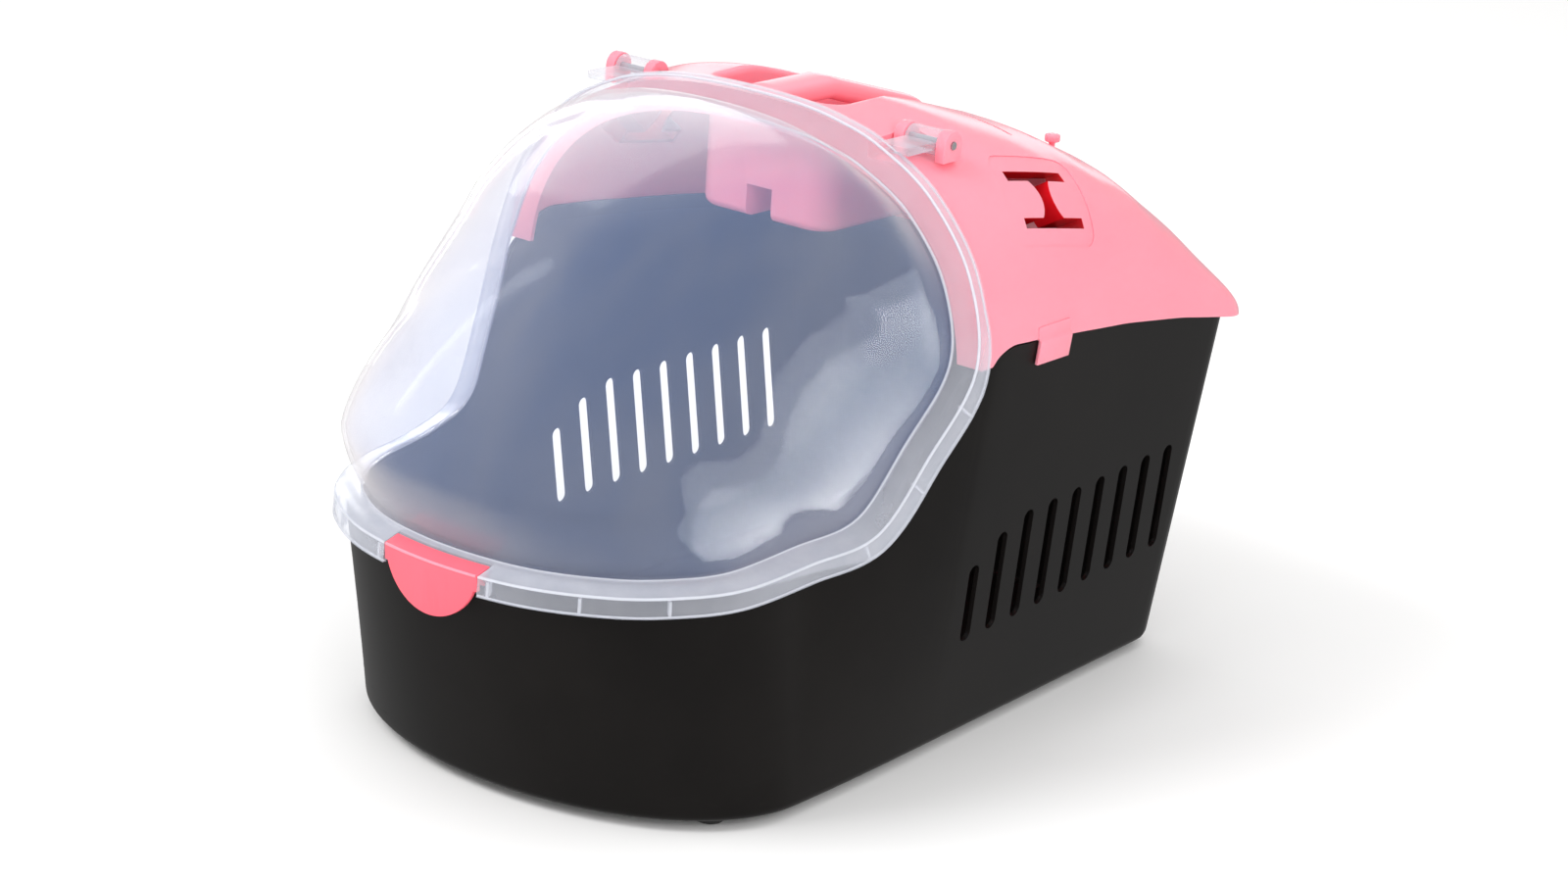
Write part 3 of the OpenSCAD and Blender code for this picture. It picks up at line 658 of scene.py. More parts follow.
def rimTable():
    # the height of the tub's rim from the front to the rear
    knee = kneeLine(tub["kneeSteps"])
    path = []
    for x, y, z in knee:
        if x > 0 and z < hull["shoulderHeight"] - tub["kneeEnd"]:
            tilt = tiltOf(z)
            path.append((y + tub["lipDrop"] * math.cos(tilt), z - tub["lipDrop"] * math.sin(tilt)))
    cornerY, cornerUp = tub["rimCorner"]
    path.append((cornerY, hull["shoulderHeight"] + cornerUp - tub["seam"]))
    return path + [(y, z - tub["seam"]) for y, z in roofEdgeLine()[1:]]


def buildTub():
    finer = 3
    low, middle, high = (tubOutline(z) for z in (0, lipHeight / 2, lipHeight))
    rims = rimTable()
    extra = np.array([(table(p[1], rims), table(p[1], tub["seatFade"]), 0) for p in high])
    low, middle, high, extra = (spline(a, finer, True) for a in (low, middle, high, extra))
    rim, seat = extra[:, 0], np.clip(extra[:, 1], tub["seatFade"][0][1], 1)

    def wallAt(z):
        t = (z / lipHeight)[:, None]
        swell = 4 * np.maximum(0, t) * np.maximum(0, 1 - t)
        ring = low + (high - low) * t + (middle - (low + high) / 2) * swell
        ring[:, 2] = z
        return ring

    bottom = hull["floor"] - hull["floorDip"]
    floorRound = hull["floorRound"]
    rows = []
    first = inset(wallAt(np.full(len(low), bottom)), floorRound)
    for share in (0, 0.25, 0.5, 0.75, 0.9):
        ring = first * np.array([share, share, 1])
        ring[:, 2] = hull["floor"]
        rows.append(ring)
    for angle in range(10, 90, 10):
        a = math.radians(angle)
        ring = wallAt(np.full(len(low), bottom + floorRound * (1 - math.cos(a))))
        rows.append(inset(ring, floorRound * (1 - math.sin(a))))
    for share in np.linspace(0, 1, tub["wallRows"]):
        rows.append(wallAt(mix(bottom + floorRound, rim, share)))
    ledge = wallAt(rim)
    rows.append(inset(ledge, tub["seatStep"] * seat))
    top = wallAt(rim + tub["seatHeight"] * seat)
    rows.append(inset(top, tub["seatStep"] * seat))
    shell = skin("tubShell", rows, closedAcross=True)
    modify(shell, "SOLIDIFY", thickness=hull["wall"] * mm, offset=-1, use_quality_normals=True)
    print("tub shell:", len(shell.data.polygons), "faces")

    width = tub["ventWidth"]
    lean = Matrix.Rotation(math.radians(tub["ventLean"]), 4, "X")
    for k in range(tub["ventCount"]):
        length = tub["ventLength"] - tub["shortVents"].get(k, 0) - width
        y = hull["rearReach"] - tub["ventRear"] - tub["ventPitch"] * k
        z = tub["ventBottom"] - tub["ventDrop"] * k + width / 2
        slot = rod("slot", width / 2, tub["ventCut"], (0, 0, 0), "X", sides=40)
        alone(slot)
        for v in slot.data.vertices:
            if v.co.z > 0.1 * mm:  # the rod's upper half
                v.co.z += length * mm
        slot.data.transform(Matrix.Translation(Vector((0, y, z)) * mm) @ lean)
        carve(shell, slot)

    back, up = tub["notchAt"]
    notchAt = (0, -hull["frontReach"] + back, lipHeight + up)
    carve(shell, block("notch", tub["notch"], notchAt, tub["notchRound"]))
    keeperZ = lipHeight - tub["keeperDrop"]
    frontWall = tubOutline(keeperZ + 1)[0][1]
    keeperAt = (0, frontWall - tub["keeperOut"], keeperZ)
    carve(shell, block("keeper", tub["keeper"], keeperAt, tub["keeperRound"]), "UNION")
    smooth(shell, degrees=40)
    return finish(shell, tubPlastic, "black_plastic", "carrier", "base_tub")


buildTub()
print("tub built")


roof = {
    "sideInset": 1.5,
    "taperStart": -14,
    "powers": (2.5, 3.3),  # exponents of the arch's curve, at the front and from powerReach on
    "powerReach": 70,
    "crownFront": 3.4,
    "crown": ((35, 3.5), (70, 13), (105, 22.5), (140, 37), (175, 61), (205, 88)),  # y, drop from the top
    "crownRear": (13, 111),
    "tail": 9.0,
    "flange": 15.0,
    "foot": 12,  # how far the inside is cut below the roof's edge
    "archSteps": 44,
    "stops": (-18, -15, -9, 2, 14, 30, 50, 70, 88, 106, 124, 142, 160, 178, 196),
    "rearStops": (30, 22, 14, 8, 3.5, 1, 0),
    "recessHalf": 40.0,
    "recessFront": -6.0,
    "recessLength": edge("carry_handle", 1, "y") - edge("carry_handle", 0, "y") - 16,
    "recessFloor": 251.0,
    "recessCorner": 12.0,
    "recessRound": 5.0,
    "cutTop": 335,
    "lipRound": 3.5,
    "lipPast": (0.5, 1.2),  # the recess's cutter runs this far out and up past its lip
    "saddleHalf": 10.5,
    "saddleTop": 268.0,
    "saddlePast": 20,  # past each end of the recess
    "strapY": 53,
    "strapOut": 0.87,  # share of the roof's half width
    "strapDrop": 41,
    "strapLean": -29,
    "strapTurn": -9.5,
    "strapBar": 47.0,
    "strapGap": 5.5,
    "strapHeight": 31.0,
    "strapWaist": 9.0,
    "strapCurve": 15.0,
    "padSize": (66, 50, 40),
    "padShear": 0.12,
    "padRound": 8,
    "padDepth": 0.5,
    "collarDepth": 18.0,
    "collarWall": 1.8,
    "collarUnder": 0.25,  # below the pad
    "collarLap": 0.12,  # the collar stands this far inside the slot's edge
    "vents": ((78, 50, 90), (104, 50, 88), (124, 50, 102)),
    "ventWidth": 3.5,
    "ventCut": (290, 80),  # middle and height of the vents' cutters
    "ventRound": 1.5,
}
roofFront = edge("roof_shell", 0, "y")


def roofTop(y):
    rear, top = hull["rearReach"], hull["archHeight"]
    back, drop = roof["crownRear"]
    line = [(roofFront, top - roof["crownFront"])] + [(at, top - low) for at, low in roof["crown"]]
    return table(y, line + [(rear - back, top - drop), (rear, roofEdge(rear) + roof["tail"])])


def roofWidth(y):
    corner = hull["rearCorner"]
    past = y - (hull["rearReach"] - corner)
    pull = corner - math.sqrt(max(0, corner ** 2 - past ** 2)) if past > 0 else 0
    return hull["shoulderHalf"] - roof["sideInset"] - hull["sideTaper"] * (y - roof["taperStart"]) - pull


def roofPower(y):
    first, last = roof["powers"]
    return table(y, [(roofFront, first), (roof["powerReach"], last)])


def roofArch(y, inward, bottom):
    width, top = roofWidth(y) - inward, roofTop(y) - inward
    base, exponent, count = hull["archBase"], roofPower(y), roof["archSteps"]
    start = math.asin(max(0, (bottom - base) / (top - base)) ** (exponent / 2))
    points = []
    for k in range(count + 1):
        a = mix(start, math.pi - start, k / count)
        z = base + (top - base) * math.sin(a) ** (2 / exponent)
        x = width * power(math.cos(a), 2 / exponent)
        points.append((x, y, min(z, bottom) if k in (0, count) else z))
    return points


roofStops = [roofFront, *roof["stops"], *[hull["rearReach"] - back for back in roof["rearStops"]]]


def roofNet(inward, below, stops):
    rows = [roofArch(y, inward, roofEdge(y) - below) for y in stops]
    return spline(np.swapaxes(spline(rows, 3, False), 0, 1), 2, False).swapaxes(0, 1)


def closedRoof(name, net):
    # an arched skin closed by a flat strip along its foot and by its two ends
    return skin(name, net, closedAcross=True, ends=True)


def crownAt(x, y):
    # height of the roof's outside
    width, top, exponent = roofWidth(y), roofTop(y), roofPower(y)
    share = max(0, 1 - (abs(x) / width) ** exponent)
    return hull["archBase"] + (top - hull["archBase"]) * share ** (1 / exponent)


def wellTool(name, grow, lip):
    # the finger recess as a solid, with a lip that runs out into the crown
    halfX, corner = roof["recessHalf"] + grow, roof["recessCorner"] + grow
    halfY = roof["recessLength"] / 2 + grow
    middleY = roof["recessFront"] + roof["recessLength"] / 2
    floor = roof["recessFloor"] - grow
    floorRound = roof["recessRound"]
    pastOut, pastUp = roof["lipPast"]

    def outline(out):
        loop = []
        for quarter in range(4):
            for step in range(9):
                a = math.radians(90 * quarter + 90 * step / 8)
                cx = (halfX - corner) * (1 if quarter in (0, 3) else -1)
                cy = (halfY - corner) * (1 if quarter in (0, 1) else -1)
                loop.append((cx + (corner + out) * math.cos(a),
                             middleY + cy + (corner + out) * math.sin(a)))
            nextX = (halfX - corner) * (1 if quarter in (2, 3) else -1)
            nextY = (halfY - corner) * (1 if quarter in (3, 0) else -1)
            a = math.radians(90 * quarter + 90)
            end = (nextX + (corner + out) * math.cos(a), middleY + nextY + (corner + out) * math.sin(a))
            start = loop[-1]
            if quarter in (0, 2):
                loop += [(mix(start[0], end[0], t), start[1]) for t in (0.2, 0.4, 0.6, 0.8)]
            else:
                loop += [(start[0], mix(start[1], end[1], t)) for t in np.arange(0.1, 0.95, 0.1)]
        return loop

    rows = []
    for angle in (0, 30, 60, 90):
        a = math.radians(angle)
        ring = outline(-floorRound * (1 - math.sin(a)))
        rows.append([(x, y, floor + floorRound * (1 - math.cos(a))) for x, y in ring])
    if lip:
        for angle in range(0, 91, 15):
            a = math.radians(angle)
            out = lip * (1 - math.cos(a))
            rows.append([(x, y, crownAt(x, y) - lip * (1 - math.sin(a))) for x, y in outline(out)])
        rows.append([(x, y, crownAt(x, y) + pastUp) for x, y in outline(lip + pastOut)])
    rows.append([(x, y, roof["cutTop"]) for x, y in outline(lip + pastOut if lip else 0)])
    tool = skin(name, rows, closedAcross=True, ends=True)
    half, top = roof["saddleHalf"] - grow, roof["saddleTop"] - grow
    return carve(tool, block("saddle", (2 * half, roof["recessLength"] + 2 * roof["saddlePast"], cutHeight),
                             (0, middleY, top - cutHeight / 2)))


hinge = {
    "y": 2.0,
    "z": (edge("hinge_pin_left", 0, "z") + edge("hinge_pin_left", 1, "z")) / 2,
    "offset": 93.0,
    "barrelRadius": 6.5,
    "barrelLength": 19.0,
    "boreRadius": 2.06,
    "pocketSide": 7,
    "pocketFront": 6,
    "pocketBack": 3,
    "pocketUnder": 1.6,
    "pocketRound": 1.2,
    "barrelRound": 0.6,
}


def pocketTool(side, grow):
    half = hinge["barrelLength"] / 2 + hinge["pocketSide"] + grow
    front = roofFront - hinge["pocketFront"]
    back = hinge["y"] + hinge["barrelRadius"] + hinge["pocketBack"] + grow
    low = hinge["z"] - hinge["barrelRadius"] - hinge["pocketUnder"] - grow
    return block("pocket", (2 * half, back - front, cutHeight),
                 (side * hinge["offset"], (front + back) / 2, low + cutHeight / 2),
                 0 if grow else hinge["pocketRound"])


grip = {
    "half": 11.0,
    "thick": 12.0,
    "rise": edge("carry_handle", 1, "z") - edge("roof_shell", 1, "z"),
    "roundEnd": 8.0,
    "endSize": 0.6,
    "endDrop": 0.6,  # share of the thickness that the end's top loses
    "power": 0.62,
    "edgeRound": 1.0,
    "seatGap": 0.1,
    "seatLength": 8.0,
    "seatWidth": 22.6,
    "seatRun": 9.3,
    "seatPlay": 0.3,
}


def seatTool(end, grow):
    # the pocket in the roof for one end of the grip
    y = roof["recessFront"] + roof["recessLength"] if end else roof["recessFront"] - grip["seatLength"]
    low = roofTop(y + grip["seatLength"] if end else y) + grip["rise"] - grip["thick"] - grow
    run = grip["seatRun"] + grow
    start = y - 1 if end else y - (grip["seatPlay"] + grow)
    return block("seat", (grip["seatWidth"] + 2 * grow, run, cutHeight),
                 (0, start + run / 2, low + cutHeight / 2))


def slotPlace(side):
    # from the slot's own plane to its place on the roof, mirrored for the left side
    y = roof["strapY"]
    at = Vector((roofWidth(y) * roof["strapOut"], y, hull["archHeight"] - roof["strapDrop"]))
    place = Matrix.Translation(at * mm)
    turn = Matrix.Rotation(math.radians(roof["strapLean"]), 4, "Y") @ Matrix.Rotation(math.pi / 2, 4, "Z")
    turn = turn @ Matrix.Rotation(math.pi / 2, 4, "X")
    turn = turn @ Matrix.Rotation(math.radians(roof["strapTurn"]), 4, "Z")
    return Matrix.Scale(side, 4, (1, 0, 0)) @ place @ turn


def strapTool(side, grow=0.0, span=(-20, 20)):
    # the I-shaped slot as a solid, over a span along its own axis
    waist, curve = roof["strapWaist"] + 2 * grow, roof["strapCurve"] - grow
    bar = roof["strapGap"] + 2 * grow
    high, half = roof["strapHeight"] / 2 + grow, roof["strapBar"] / 2 + grow
    reach = high - bar
    right = [(waist / 2 + curve - math.sqrt(max(0, curve ** 2 - t ** 2)), t)
             for t in np.linspace(-reach, reach, 13)]
    outline = [(-half, -high), (half, -high), (half, -reach)] + right
    outline += [(half, reach), (half, high), (-half, high), (-half, reach)]
    outline += [(-x, t) for x, t in reversed(right)] + [(-half, -reach)]
    rows = [[(u, v, w) for u, v in outline] for w in span]
    tool = skin("strapTool", rows, closedAcross=True, ends=True)
    tool.data.transform(slotPlace(side))
    return editAll(tool, faceOut)


clip = {
    "middle": 37.0,
    "half": 13.5,
    "drop": 12.0,
    "thick": 2.0,
    "root": 7,
    "step": 0.4,  # from the tub's wall, and of the tab's small steps and rounded edges
}


def clipOf(side):
    # hooked tab that hangs from the roof's edge over the tub
    middle, half, drop, thick, step = (clip[key] for key in ("middle", "half", "drop", "thick", "step"))
    z = roofEdge(middle)
    x = sideX(middle - half, z) + step
    lean = hull["sideSpread"] * drop
    outside, inside = roofWidth(middle), roofWidth(middle) - hull["wall"] + step
    profile = [(x - lean, z - drop), (x - lean + thick, z - drop), (x + thick, z - 0.8),
               (x + thick - step, z + step), (outside, z + 1.6), (outside - step, z + clip["root"]),
               (inside, z + clip["root"]), (inside, z + step), (x, z + step)]
    rows = [[(side * px, y, pz) for px, pz in profile] for y in (middle - half, middle + half)]
    tab = skin("clip", rows, closedAcross=True, ends=True)
    return modify(tab, "BEVEL", width=step * mm, segments=2, limit_method="ANGLE",
                  angle_limit=math.radians(60))


def strapPad(side):
    # the shallow pad round a strap slot: a thin skin of the roof to take away
    pad = block("pad", roof["padSize"], (0, 0, 0))
    for v in pad.data.vertices:
        v.co.x += v.co.y * roof["padShear"]
    modify(pad, "BEVEL", width=roof["padRound"] * mm, segments=5, limit_method="ANGLE", affect="EDGES")
    pad.data.transform(slotPlace(side))
    under = closedRoof("under", roofNet(roof["padDepth"], 0, roofStops))
    return carve(editAll(pad, faceOut), under)


def buildShadeCollar(side):
    # a deep wall round the slot on the inside of the roof, coloured deep red as painted shade inside the
    # slot
    ring = strapTool(side, roof["collarWall"], (-roof["collarDepth"], 12))
    under = closedRoof("under", roofNet(roof["padDepth"] + roof["collarUnder"], 0, roofStops))
    carve(ring, under, "INTERSECT")
    carve(ring, strapTool(side, -roof["collarLap"], (-roof["collarDepth"] - 4, 20)))
    smooth(ring)
    ring.name = "strapShadeCollar" + ("Right" if side > 0 else "Left")
    return finish(ring, strapSlotShade, "deep_pink_plastic", "carrier")


def buildRoof():
    shell = closedRoof("roofShell", roofNet(0, 0, roofStops))
    for side in (-1, 1):
        carve(shell, clipOf(side), "UNION")
        carve(shell, strapPad(side))
    carve(shell, wellTool("well", 0, roof["lipRound"]))
    for end in (0, 1):
        carve(shell, seatTool(end, 0))
    for side in (-1, 1):
        carve(shell, pocketTool(side, 0))
    print("roof outside:", len(shell.data.polygons), "faces")

    wall = hull["wall"]
    back = roofFront + wall
    stops = [back] + [y for y in roofStops if back + 1 < y < hull["rearReach"] - wall]
    foot = roof["foot"]
    inside = closedRoof("roofInside", roofNet(wall, foot, stops + [hull["rearReach"] - wall]))
    mouthRows = [roofArch(y, roof["flange"], roofEdge(y) - foot) for y in (roofFront - 1, back + 1)]
    mouth = closedRoof("roofMouth", spline(np.swapaxes(mouthRows, 0, 1), 2, False).swapaxes(0, 1))
    carve(inside, mouth, "UNION")
    carve(inside, wellTool("wellOuter", wall, 0))
    for end in (0, 1):
        carve(inside, seatTool(end, wall))
    for side in (-1, 1):
        carve(inside, pocketTool(side, wall))
    carve(shell, inside)

    ventZ, ventHeight = roof["ventCut"]
    for side in (-1, 1):
        carve(shell, strapTool(side))
        for y, start, stop in roof["vents"]:
            size = (stop - start, roof["ventWidth"], ventHeight)
            carve(shell, block("cross", size, (side * (start + stop) / 2, y, ventZ), roof["ventRound"]))
    print("roof shell:", len(shell.data.polygons), "faces")
    smooth(shell, degrees=38)
    return finish(shell, roofPlastic, "pink_plastic", "carrier", "roof_shell")


buildRoof()
for side in (-1, 1):
    buildShadeCollar(side)
print("roof built")


door = {
    "wall": 2.2,
    "kneeSteps": 10,
    "skirt": ((0, 10), (0.3, 12), (0.9, 12), (1.3, 7)),  # share of the rise, depth
    "edgeRound": 0.6,
    "band": 13.0,
    "bandRise": 4.0,
    "stripDepth": 3.0,
    "flangeMiddle": (0.5, 0.45),  # shares of the band and of its rise
    "skirtLean": 0.6,
    "latchHalf": 29.5,
    "latchGap": 0.6,
    "gapAhead": 5,  # the cut for the latch starts this far before the lip, its middle gapDown below it
    "gapDown": 10,
    "bowRadius": 190.0,
    "cheek": (2.4, 8, 9),
    "cheekBack": 6.6,
    "cheekDrop": 5,
    "cheekRound": 0.5,
    "armThick": 4,
    "armDrop": 0.5,
    "armRound": 0.8,
    "lines": ((0.5, -0.5, 0.75), (13.2, 3.6, 0.7)),  # the painted highlight beads: inward, outward, radius
    "footLine": (0.3, 0.6, 0.5),  # the same, from the skirt's foot
    "ribs": ((124, 36), (124, 78), (124, 108), (133, 137), (160, 145), (196, 153)),  # height, x
    "ribHalf": 0.7,
}


def skirtDepth(z):
    return table(rise(z), door["skirt"])


def highlightBeads(at, deep):
    # beads along the frame's edges, lighter than the frame as painted highlights; the outer ones stop at the
    # latch
    footIn, footOut, footRadius = door["footLine"]
    turns = np.linspace(0, 2 * math.pi, 8, endpoint=False)
    made = []
    for u, v, radius in [*door["lines"], (footIn, footOut - deep, footRadius)]:
        rows = [at(u + radius * math.cos(t), v + radius * math.sin(t)) for t in turns]
        line = skin("doorHighlightBead", rows, closedAlong=True, closedAcross=True)
        if u < door["band"] / 2:
            carve(line, block("gap", (2 * (door["latchHalf"] + door["latchGap"]), 30, cutHeight),
                              (0, -hull["frontReach"], lipHeight)))
        made.append(smooth(line, degrees=60))
    return made


def mouldedRibs(knee, inward, outward):
    # short ribs down the inside of the skirt
    wall, halfRib = door["wall"], door["ribHalf"]
    half = knee[:len(knee) // 2]
    made = []
    for (height, out), side in [(rib, side) for rib in door["ribs"] for side in (-1, 1)]:
        near = int(np.argmin(np.abs(half[:, 2] - height) * 3 + np.abs(half[:, 0] - out)))
        k = near if side > 0 else (len(knee) - near) % len(knee)
        along = unit(knee[(k + 1) % len(knee)] - knee[k - 1])
        deep = skirtDepth(knee[k][2])
        # corners of the rib's side, inward and outward from the knee
        section = ((0.6, -wall), (wall + 1.4, -wall), (wall + 0.9, 1.5 - deep), (0.3, 1.0 - deep))
        ends = [[knee[k] + inward[k] * u + outward[k] * v + along * w for u, v in section]
                for w in (-halfRib, halfRib)]
        made.append(skin("rib", ends, closedAcross=True, ends=True))
    return made


def buildFrame():
    knee = kneeLine(door["kneeSteps"])
    inward, outward = frameAxes(knee)
    wall, band, up = door["wall"], door["band"], door["bandRise"]
    deep = np.array([skirtDepth(p[2]) for p in knee])[:, None]
    ones = np.ones_like(deep)

    def at(u, v):
        return knee + inward * u * ones + outward * v * ones

    middle, middleUp = band * door["flangeMiddle"][0], up * door["flangeMiddle"][1]
    lean = door["skirtLean"]
    rows = [at(0, 0), at(middle, middleUp), at(band, up), at(band, up - wall),
            at(middle, middleUp - wall), at(wall, -wall), at(wall - lean, -deep), at(-lean, -deep)]
    ring = skin("doorFrame", rows, closedAlong=True, closedAcross=True)

    gapHalf = door["latchHalf"] + door["latchGap"]
    ahead, cutZ = door["gapAhead"], lipHeight - door["gapDown"]
    gap = block("gap", (2 * gapHalf, ahead + band, cutHeight),
                (0, -hull["frontReach"] - ahead + (ahead + band) / 2, cutZ))
    strip = rod("strip", door["bowRadius"] - band + door["stripDepth"], 100,
                (0, -hull["frontReach"] + door["bowRadius"], cutZ), "Z", sides=180)
    carve(gap, strip)
    carve(ring, gap)

    reach = hinge["y"] - hull["archPlane"] - wall / 2
    length = hinge["barrelLength"]
    cheekX = gapHalf + door["cheek"][0] / 2
    for side in (-1, 1):
        x = side * hinge["offset"]
        pinAt = (x, hinge["y"], hinge["z"])
        arm = block("arm", (length, reach, door["armThick"]),
                    (x, hinge["y"] - reach / 2, hinge["z"] - door["armDrop"]), door["armRound"])
        barrel = rod("barrel", hinge["barrelRadius"], length, pinAt, "X", 48, hinge["barrelRound"])
        carve(arm, barrel, "UNION")
        carve(ring, arm, "UNION")
        cheek = block("cheek", door["cheek"], (side * cheekX, -hull["frontReach"] + door["cheekBack"],
                                               lipHeight - door["cheekDrop"]), door["cheekRound"])
        carve(ring, cheek, "UNION")
        carve(ring, rod("bore", hinge["boreRadius"], length + 2, pinAt, "X", sides=40))
    softEdges(ring, door["edgeRound"], degrees=45)
    ribsAndHighlights = join(*highlightBeads(at, deep), *mouldedRibs(knee, inward, outward))
    finish(ribsAndHighlights, milkyRibAndHighlight, "milky_plastic", "door")
    print("door frame:", len(ring.data.polygons), "faces")
    return finish(ring, milkyPlastic, "milky_plastic", "door", "door_frame")


dome = {
    "centre": np.array([0, -49, lipHeight + 38]),
    "axes": np.array([hull["bowHalf"] + 11.4, hull["frontReach"] - 50, hull["archHeight"] - 153]),
    "powers": (2.27, 1.34),
    "edgeGap": 0.1,
}


def domeReach(direction):
    # how far the dome stands from its centre in each direction
    x, y, z = (np.abs(direction) / dome["axes"]).T
    p, q = dome["powers"]
    return (x ** p + (y ** q + z ** q) ** (p / q)) ** (-1 / p)


def buildDome():
    knee = kneeLine(door["kneeSteps"])
    inward, outward = frameAxes(knee)
    base = knee + inward * (door["band"] + dome["edgeGap"]) + outward * door["bandRise"]
    spoke = base - dome["centre"]
    start = unit(spoke)
    ratio = np.linalg.norm(spoke, axis=1) / domeReach(start)
    top = unit(np.array([[0.0, -1.0, 1.0]]))
    rows = []
    for f in [*np.linspace(0, 0.9, 46), 0.94, 0.975, 1.0]:
        direction = unit(start * (1 - f) + top * f)
        swell = 1 + (ratio - 1) * (1 - f) ** 2
        rows.append(dome["centre"] + direction * (domeReach(direction) * swell)[:, None])
    shell = skin("domeWindow", rows, closedAcross=True)
    modify(shell, "SOLIDIFY", thickness=door["wall"] * mm, offset=-1, use_quality_normals=True)
    smooth(shell, degrees=50)
    print("dome:", len(shell.data.polygons), "faces")
    return finish(shell, clearPlastic, "clear_plastic", "door", "dome_window")


doorFrame = buildFrame()
domeWindow = buildDome()
print("door built")


def buildGrip():
    half, thick, roundEnd, endSize = (grip[key] for key in ("half", "thick", "roundEnd", "endSize"))
    start, stop = edge("carry_handle", 0, "y"), edge("carry_handle", 1, "y")
    rows = []
    for f in (1 - np.cos(np.linspace(0, math.pi, 61))) / 2:
        y = mix(start, stop, f)
        near = min(f, 1 - f) * (stop - start)
        closing = max(0, 1 - (1 - near / roundEnd) ** 2) if near < roundEnd else 1
        size = endSize + (1 - endSize) * math.sqrt(closing)
        crown = roofTop(y) + grip["rise"]
        top = crown - (1 - size) * thick * grip["endDrop"]
        low = crown - thick + grip["seatGap"]
        ring = []
        for a in np.linspace(0, 2 * math.pi, 48, endpoint=False):
            ring.append((half * size * power(math.cos(a), grip["power"]), y,
                         (top + low) / 2 + (top - low) / 2 * power(math.sin(a), grip["power"])))
        rows.append(ring)
    bar = skin("gripBar", rows, closedAcross=True, ends=True)
    softEdges(bar, grip["edgeRound"], degrees=50, segments=3)
    return finish(bar, gripPlastic, "deep_pink_plastic", "carrier", "carry_handle")


buildGrip()

softened = (  # CAD nodes, edge radius in millimetres, material, slot, body
    (("latch_tongue",), 0.9, latchPlastic, "deep_pink_plastic", "latch"),
    (("hinge_ear_left", "hinge_ear_right"), 0.7, roofPlastic, "pink_plastic", "carrier"),
    (("roof_stud_left", "roof_stud_right"), 0.9, roofPlastic, "pink_plastic", "carrier"),
    (("foot_front_left", "foot_front_right", "foot_rear_left", "foot_rear_right"),
     0.5, rubber, "rubber", "carrier"),
)
for nodes, radius, material, slotName, bodyName in softened:
    for node in nodes:
        finish(softEdges(copyOf(node), radius, 35), material, slotName, bodyName, node)


latchHighlightBead = {
    "half": 28.7,
    "radius": 0.75,
    "sunk": 0.4,
}


def buildLatchHighlight():
    # the bead across the latch along the knee: the real latch's crease, in the lighter roof pink as a
    # painted highlight
    bend, radius = door["bowRadius"], latchHighlightBead["radius"]
    rows = []
    for turn in np.linspace(-1, 1, 25) * math.asin(latchHighlightBead["half"] / bend):
        ring = []
        for a in np.linspace(0, 2 * math.pi, 8, endpoint=False):
            out = bend - latchHighlightBead["sunk"] + radius * math.cos(a)
            ring.append((out * math.sin(turn), bend - hull["frontReach"] - out * math.cos(turn),
                         lipHeight - latchHighlightBead["sunk"] + radius * math.sin(a)))
        rows.append(ring)
    beadWithHighlight = skin("latchHighlightBead", rows, closedAcross=True, ends=True)
    smooth(beadWithHighlight, degrees=60)
    return finish(beadWithHighlight, roofPlastic, "pink_plastic", "latch")


buildLatchHighlight()

for node in ("hinge_pin_left", "hinge_pin_right", "handle_screws", "latch_pin", "latch_spring"):
    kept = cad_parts[node]
    kept.data.materials.clear()
    kept.data.materials.append(steel)
print("small pieces finished")


studio = {
    "floor": (0.93, 0.925, 0.92),
    "floorSize": 12,
    "floorRoughness": (0.75, 0.85),
    "world": 0.95,
    "mirrored": 0.5,  # how bright the room is in reflections
    "key": (39.0, (-1.1, -1.7, 2.2), 1.2),  # watts, place, size
    "fill": (16.5, (1.9, -0.9, 1.0), 1.4),
    "top": (5.0, (0.3, 0.7, 2.4), 1.6),
    "lampAim": (0, 0, 0.16),
    "panelCentre": (0, 0, 0.2),
    "panelDistance": 2.6,
}
# panels that only show as reflections: radiance, bearing from the front towards +X, height angle,
# width and height in metres, and the pieces they show in
panels = {
    "sidePanel": (13.0, 115, -14, 1.8, 3.0, "dome"),
    "sidePanelSoft": (9.0, 112, -10, 2.5, 3.6, "dome"),
    "frontStrip": (10.0, -66, 33, 0.10, 1.5, "door"),
    "farStripA": (16.0, -116, 8, 0.07, 1.6, "door"),
    "farStripB": (12.0, -124, 12, 0.12, 1.8, "door"),
    "farPanel": (5.5, -116, 41, 1.9, 1.5, "dome"),
    "rearPanel": (1.1, -150, 8, 1.3, 0.6, "all"),
}

bpy.ops.object.select_all(action="DESELECT")
bpy.ops.mesh.primitive_plane_add(size=studio["floorSize"], location=(0, 0, -0.5 * mm))
floor = bpy.context.object
floor.name = "studioFloor"
bpy.ops.object.transform_apply(location=True)
floorPaint = newMaterial("floorPaint", lambda place: {
    "Roughness": place.noise(3.0).between(*studio["floorRoughness"])},
    **{"Base Color": (*studio["floor"], 1)})
floor.data.materials.append(floorPaint)
floor.visible_glossy = False

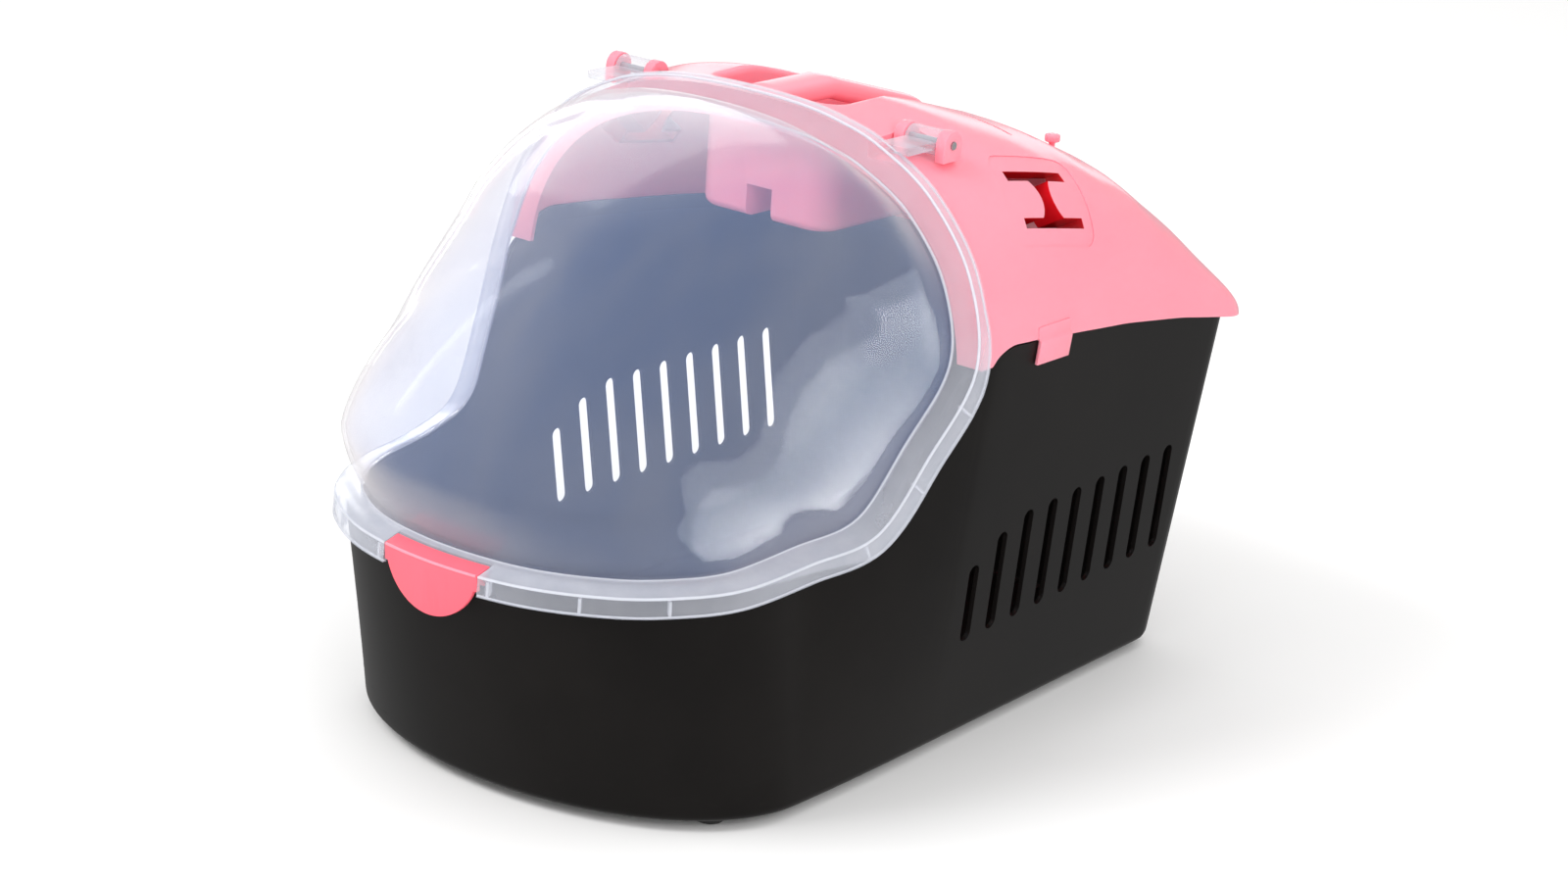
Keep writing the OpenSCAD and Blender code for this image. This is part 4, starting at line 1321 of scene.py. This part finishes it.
world = bpy.data.worlds.new("studio")
bpy.context.scene.world = world
world.use_nodes = True
background = world.node_tree.nodes["Background"]
background.inputs["Color"].default_value = (1, 1, 1, 1)
lightPath = world.node_tree.nodes.new("ShaderNodeLightPath")
glossyRay = Wire(world.node_tree, lightPath.outputs["Is Glossy Ray"])
brightness = glossyRay.between(studio["world"], studio["mirrored"])
world.node_tree.links.new(brightness.socket, background.inputs["Strength"])


def lamp(name, energy, at, size, aim, tall=0):
    light = bpy.data.lights.new(name, "AREA")
    light.energy = energy
    light.size = size
    if tall:
        light.shape = "RECTANGLE"
        light.size_y = tall
    holder = bpy.data.objects.new(name, light)
    holder.location = at
    holder.rotation_euler = (Vector(aim) - Vector(at)).to_track_quat("-Z", "Y").to_euler()
    bpy.context.scene.collection.objects.link(holder)
    return holder


for name in ("key", "fill", "top"):
    lamp(name + "Light", *studio[name], studio["lampAim"]).visible_glossy = False
shownIn = {}
for name, pieces in (("dome", [domeWindow]), ("door", [domeWindow, doorFrame])):
    shownIn[name] = bpy.data.collections.new(name + "Pieces")
    for piece in pieces:
        shownIn[name].objects.link(piece)
panelCentre = Vector(studio["panelCentre"])
for name, (radiance, bearing, height, width, tall, target) in panels.items():
    a, b = math.radians(bearing), math.radians(height)
    towards = Vector((math.sin(a) * math.cos(b), -math.cos(a) * math.cos(b), math.sin(b)))
    panel = lamp(name, radiance * math.pi * width * tall, panelCentre + towards * studio["panelDistance"],
                 width, panelCentre, tall)
    panel.visible_diffuse = False
    panel.visible_transmission = False
    panel.light_linking.receiver_collection = shownIn.get(target)

cameraView = {
    "place": (1.0278, -1.3078, 0.6846),
    "right": (0.7773, 0.62592, 0.06343),
    "up": (-0.24542, 0.20885, 0.94665),
    "ahead": (-0.57929, 0.7514, -0.31595),
    "lens": 78.44,
    "sensor": 36,
    "nearest": 0.05,
}
camera = bpy.data.objects.new("camera", bpy.data.cameras.new("camera"))
bpy.context.scene.collection.objects.link(camera)
axes = (Vector(cameraView["right"]), Vector(cameraView["up"]), -Vector(cameraView["ahead"]))
camera.matrix_world = Matrix.Translation(cameraView["place"]) @ Matrix(axes).transposed().to_4x4()
camera.data.lens = cameraView["lens"]
camera.data.sensor_width = cameraView["sensor"]
camera.data.clip_start = cameraView["nearest"]
bpy.context.scene.camera = camera
bpy.context.scene.view_settings.view_transform = "Standard"
print("studio set")
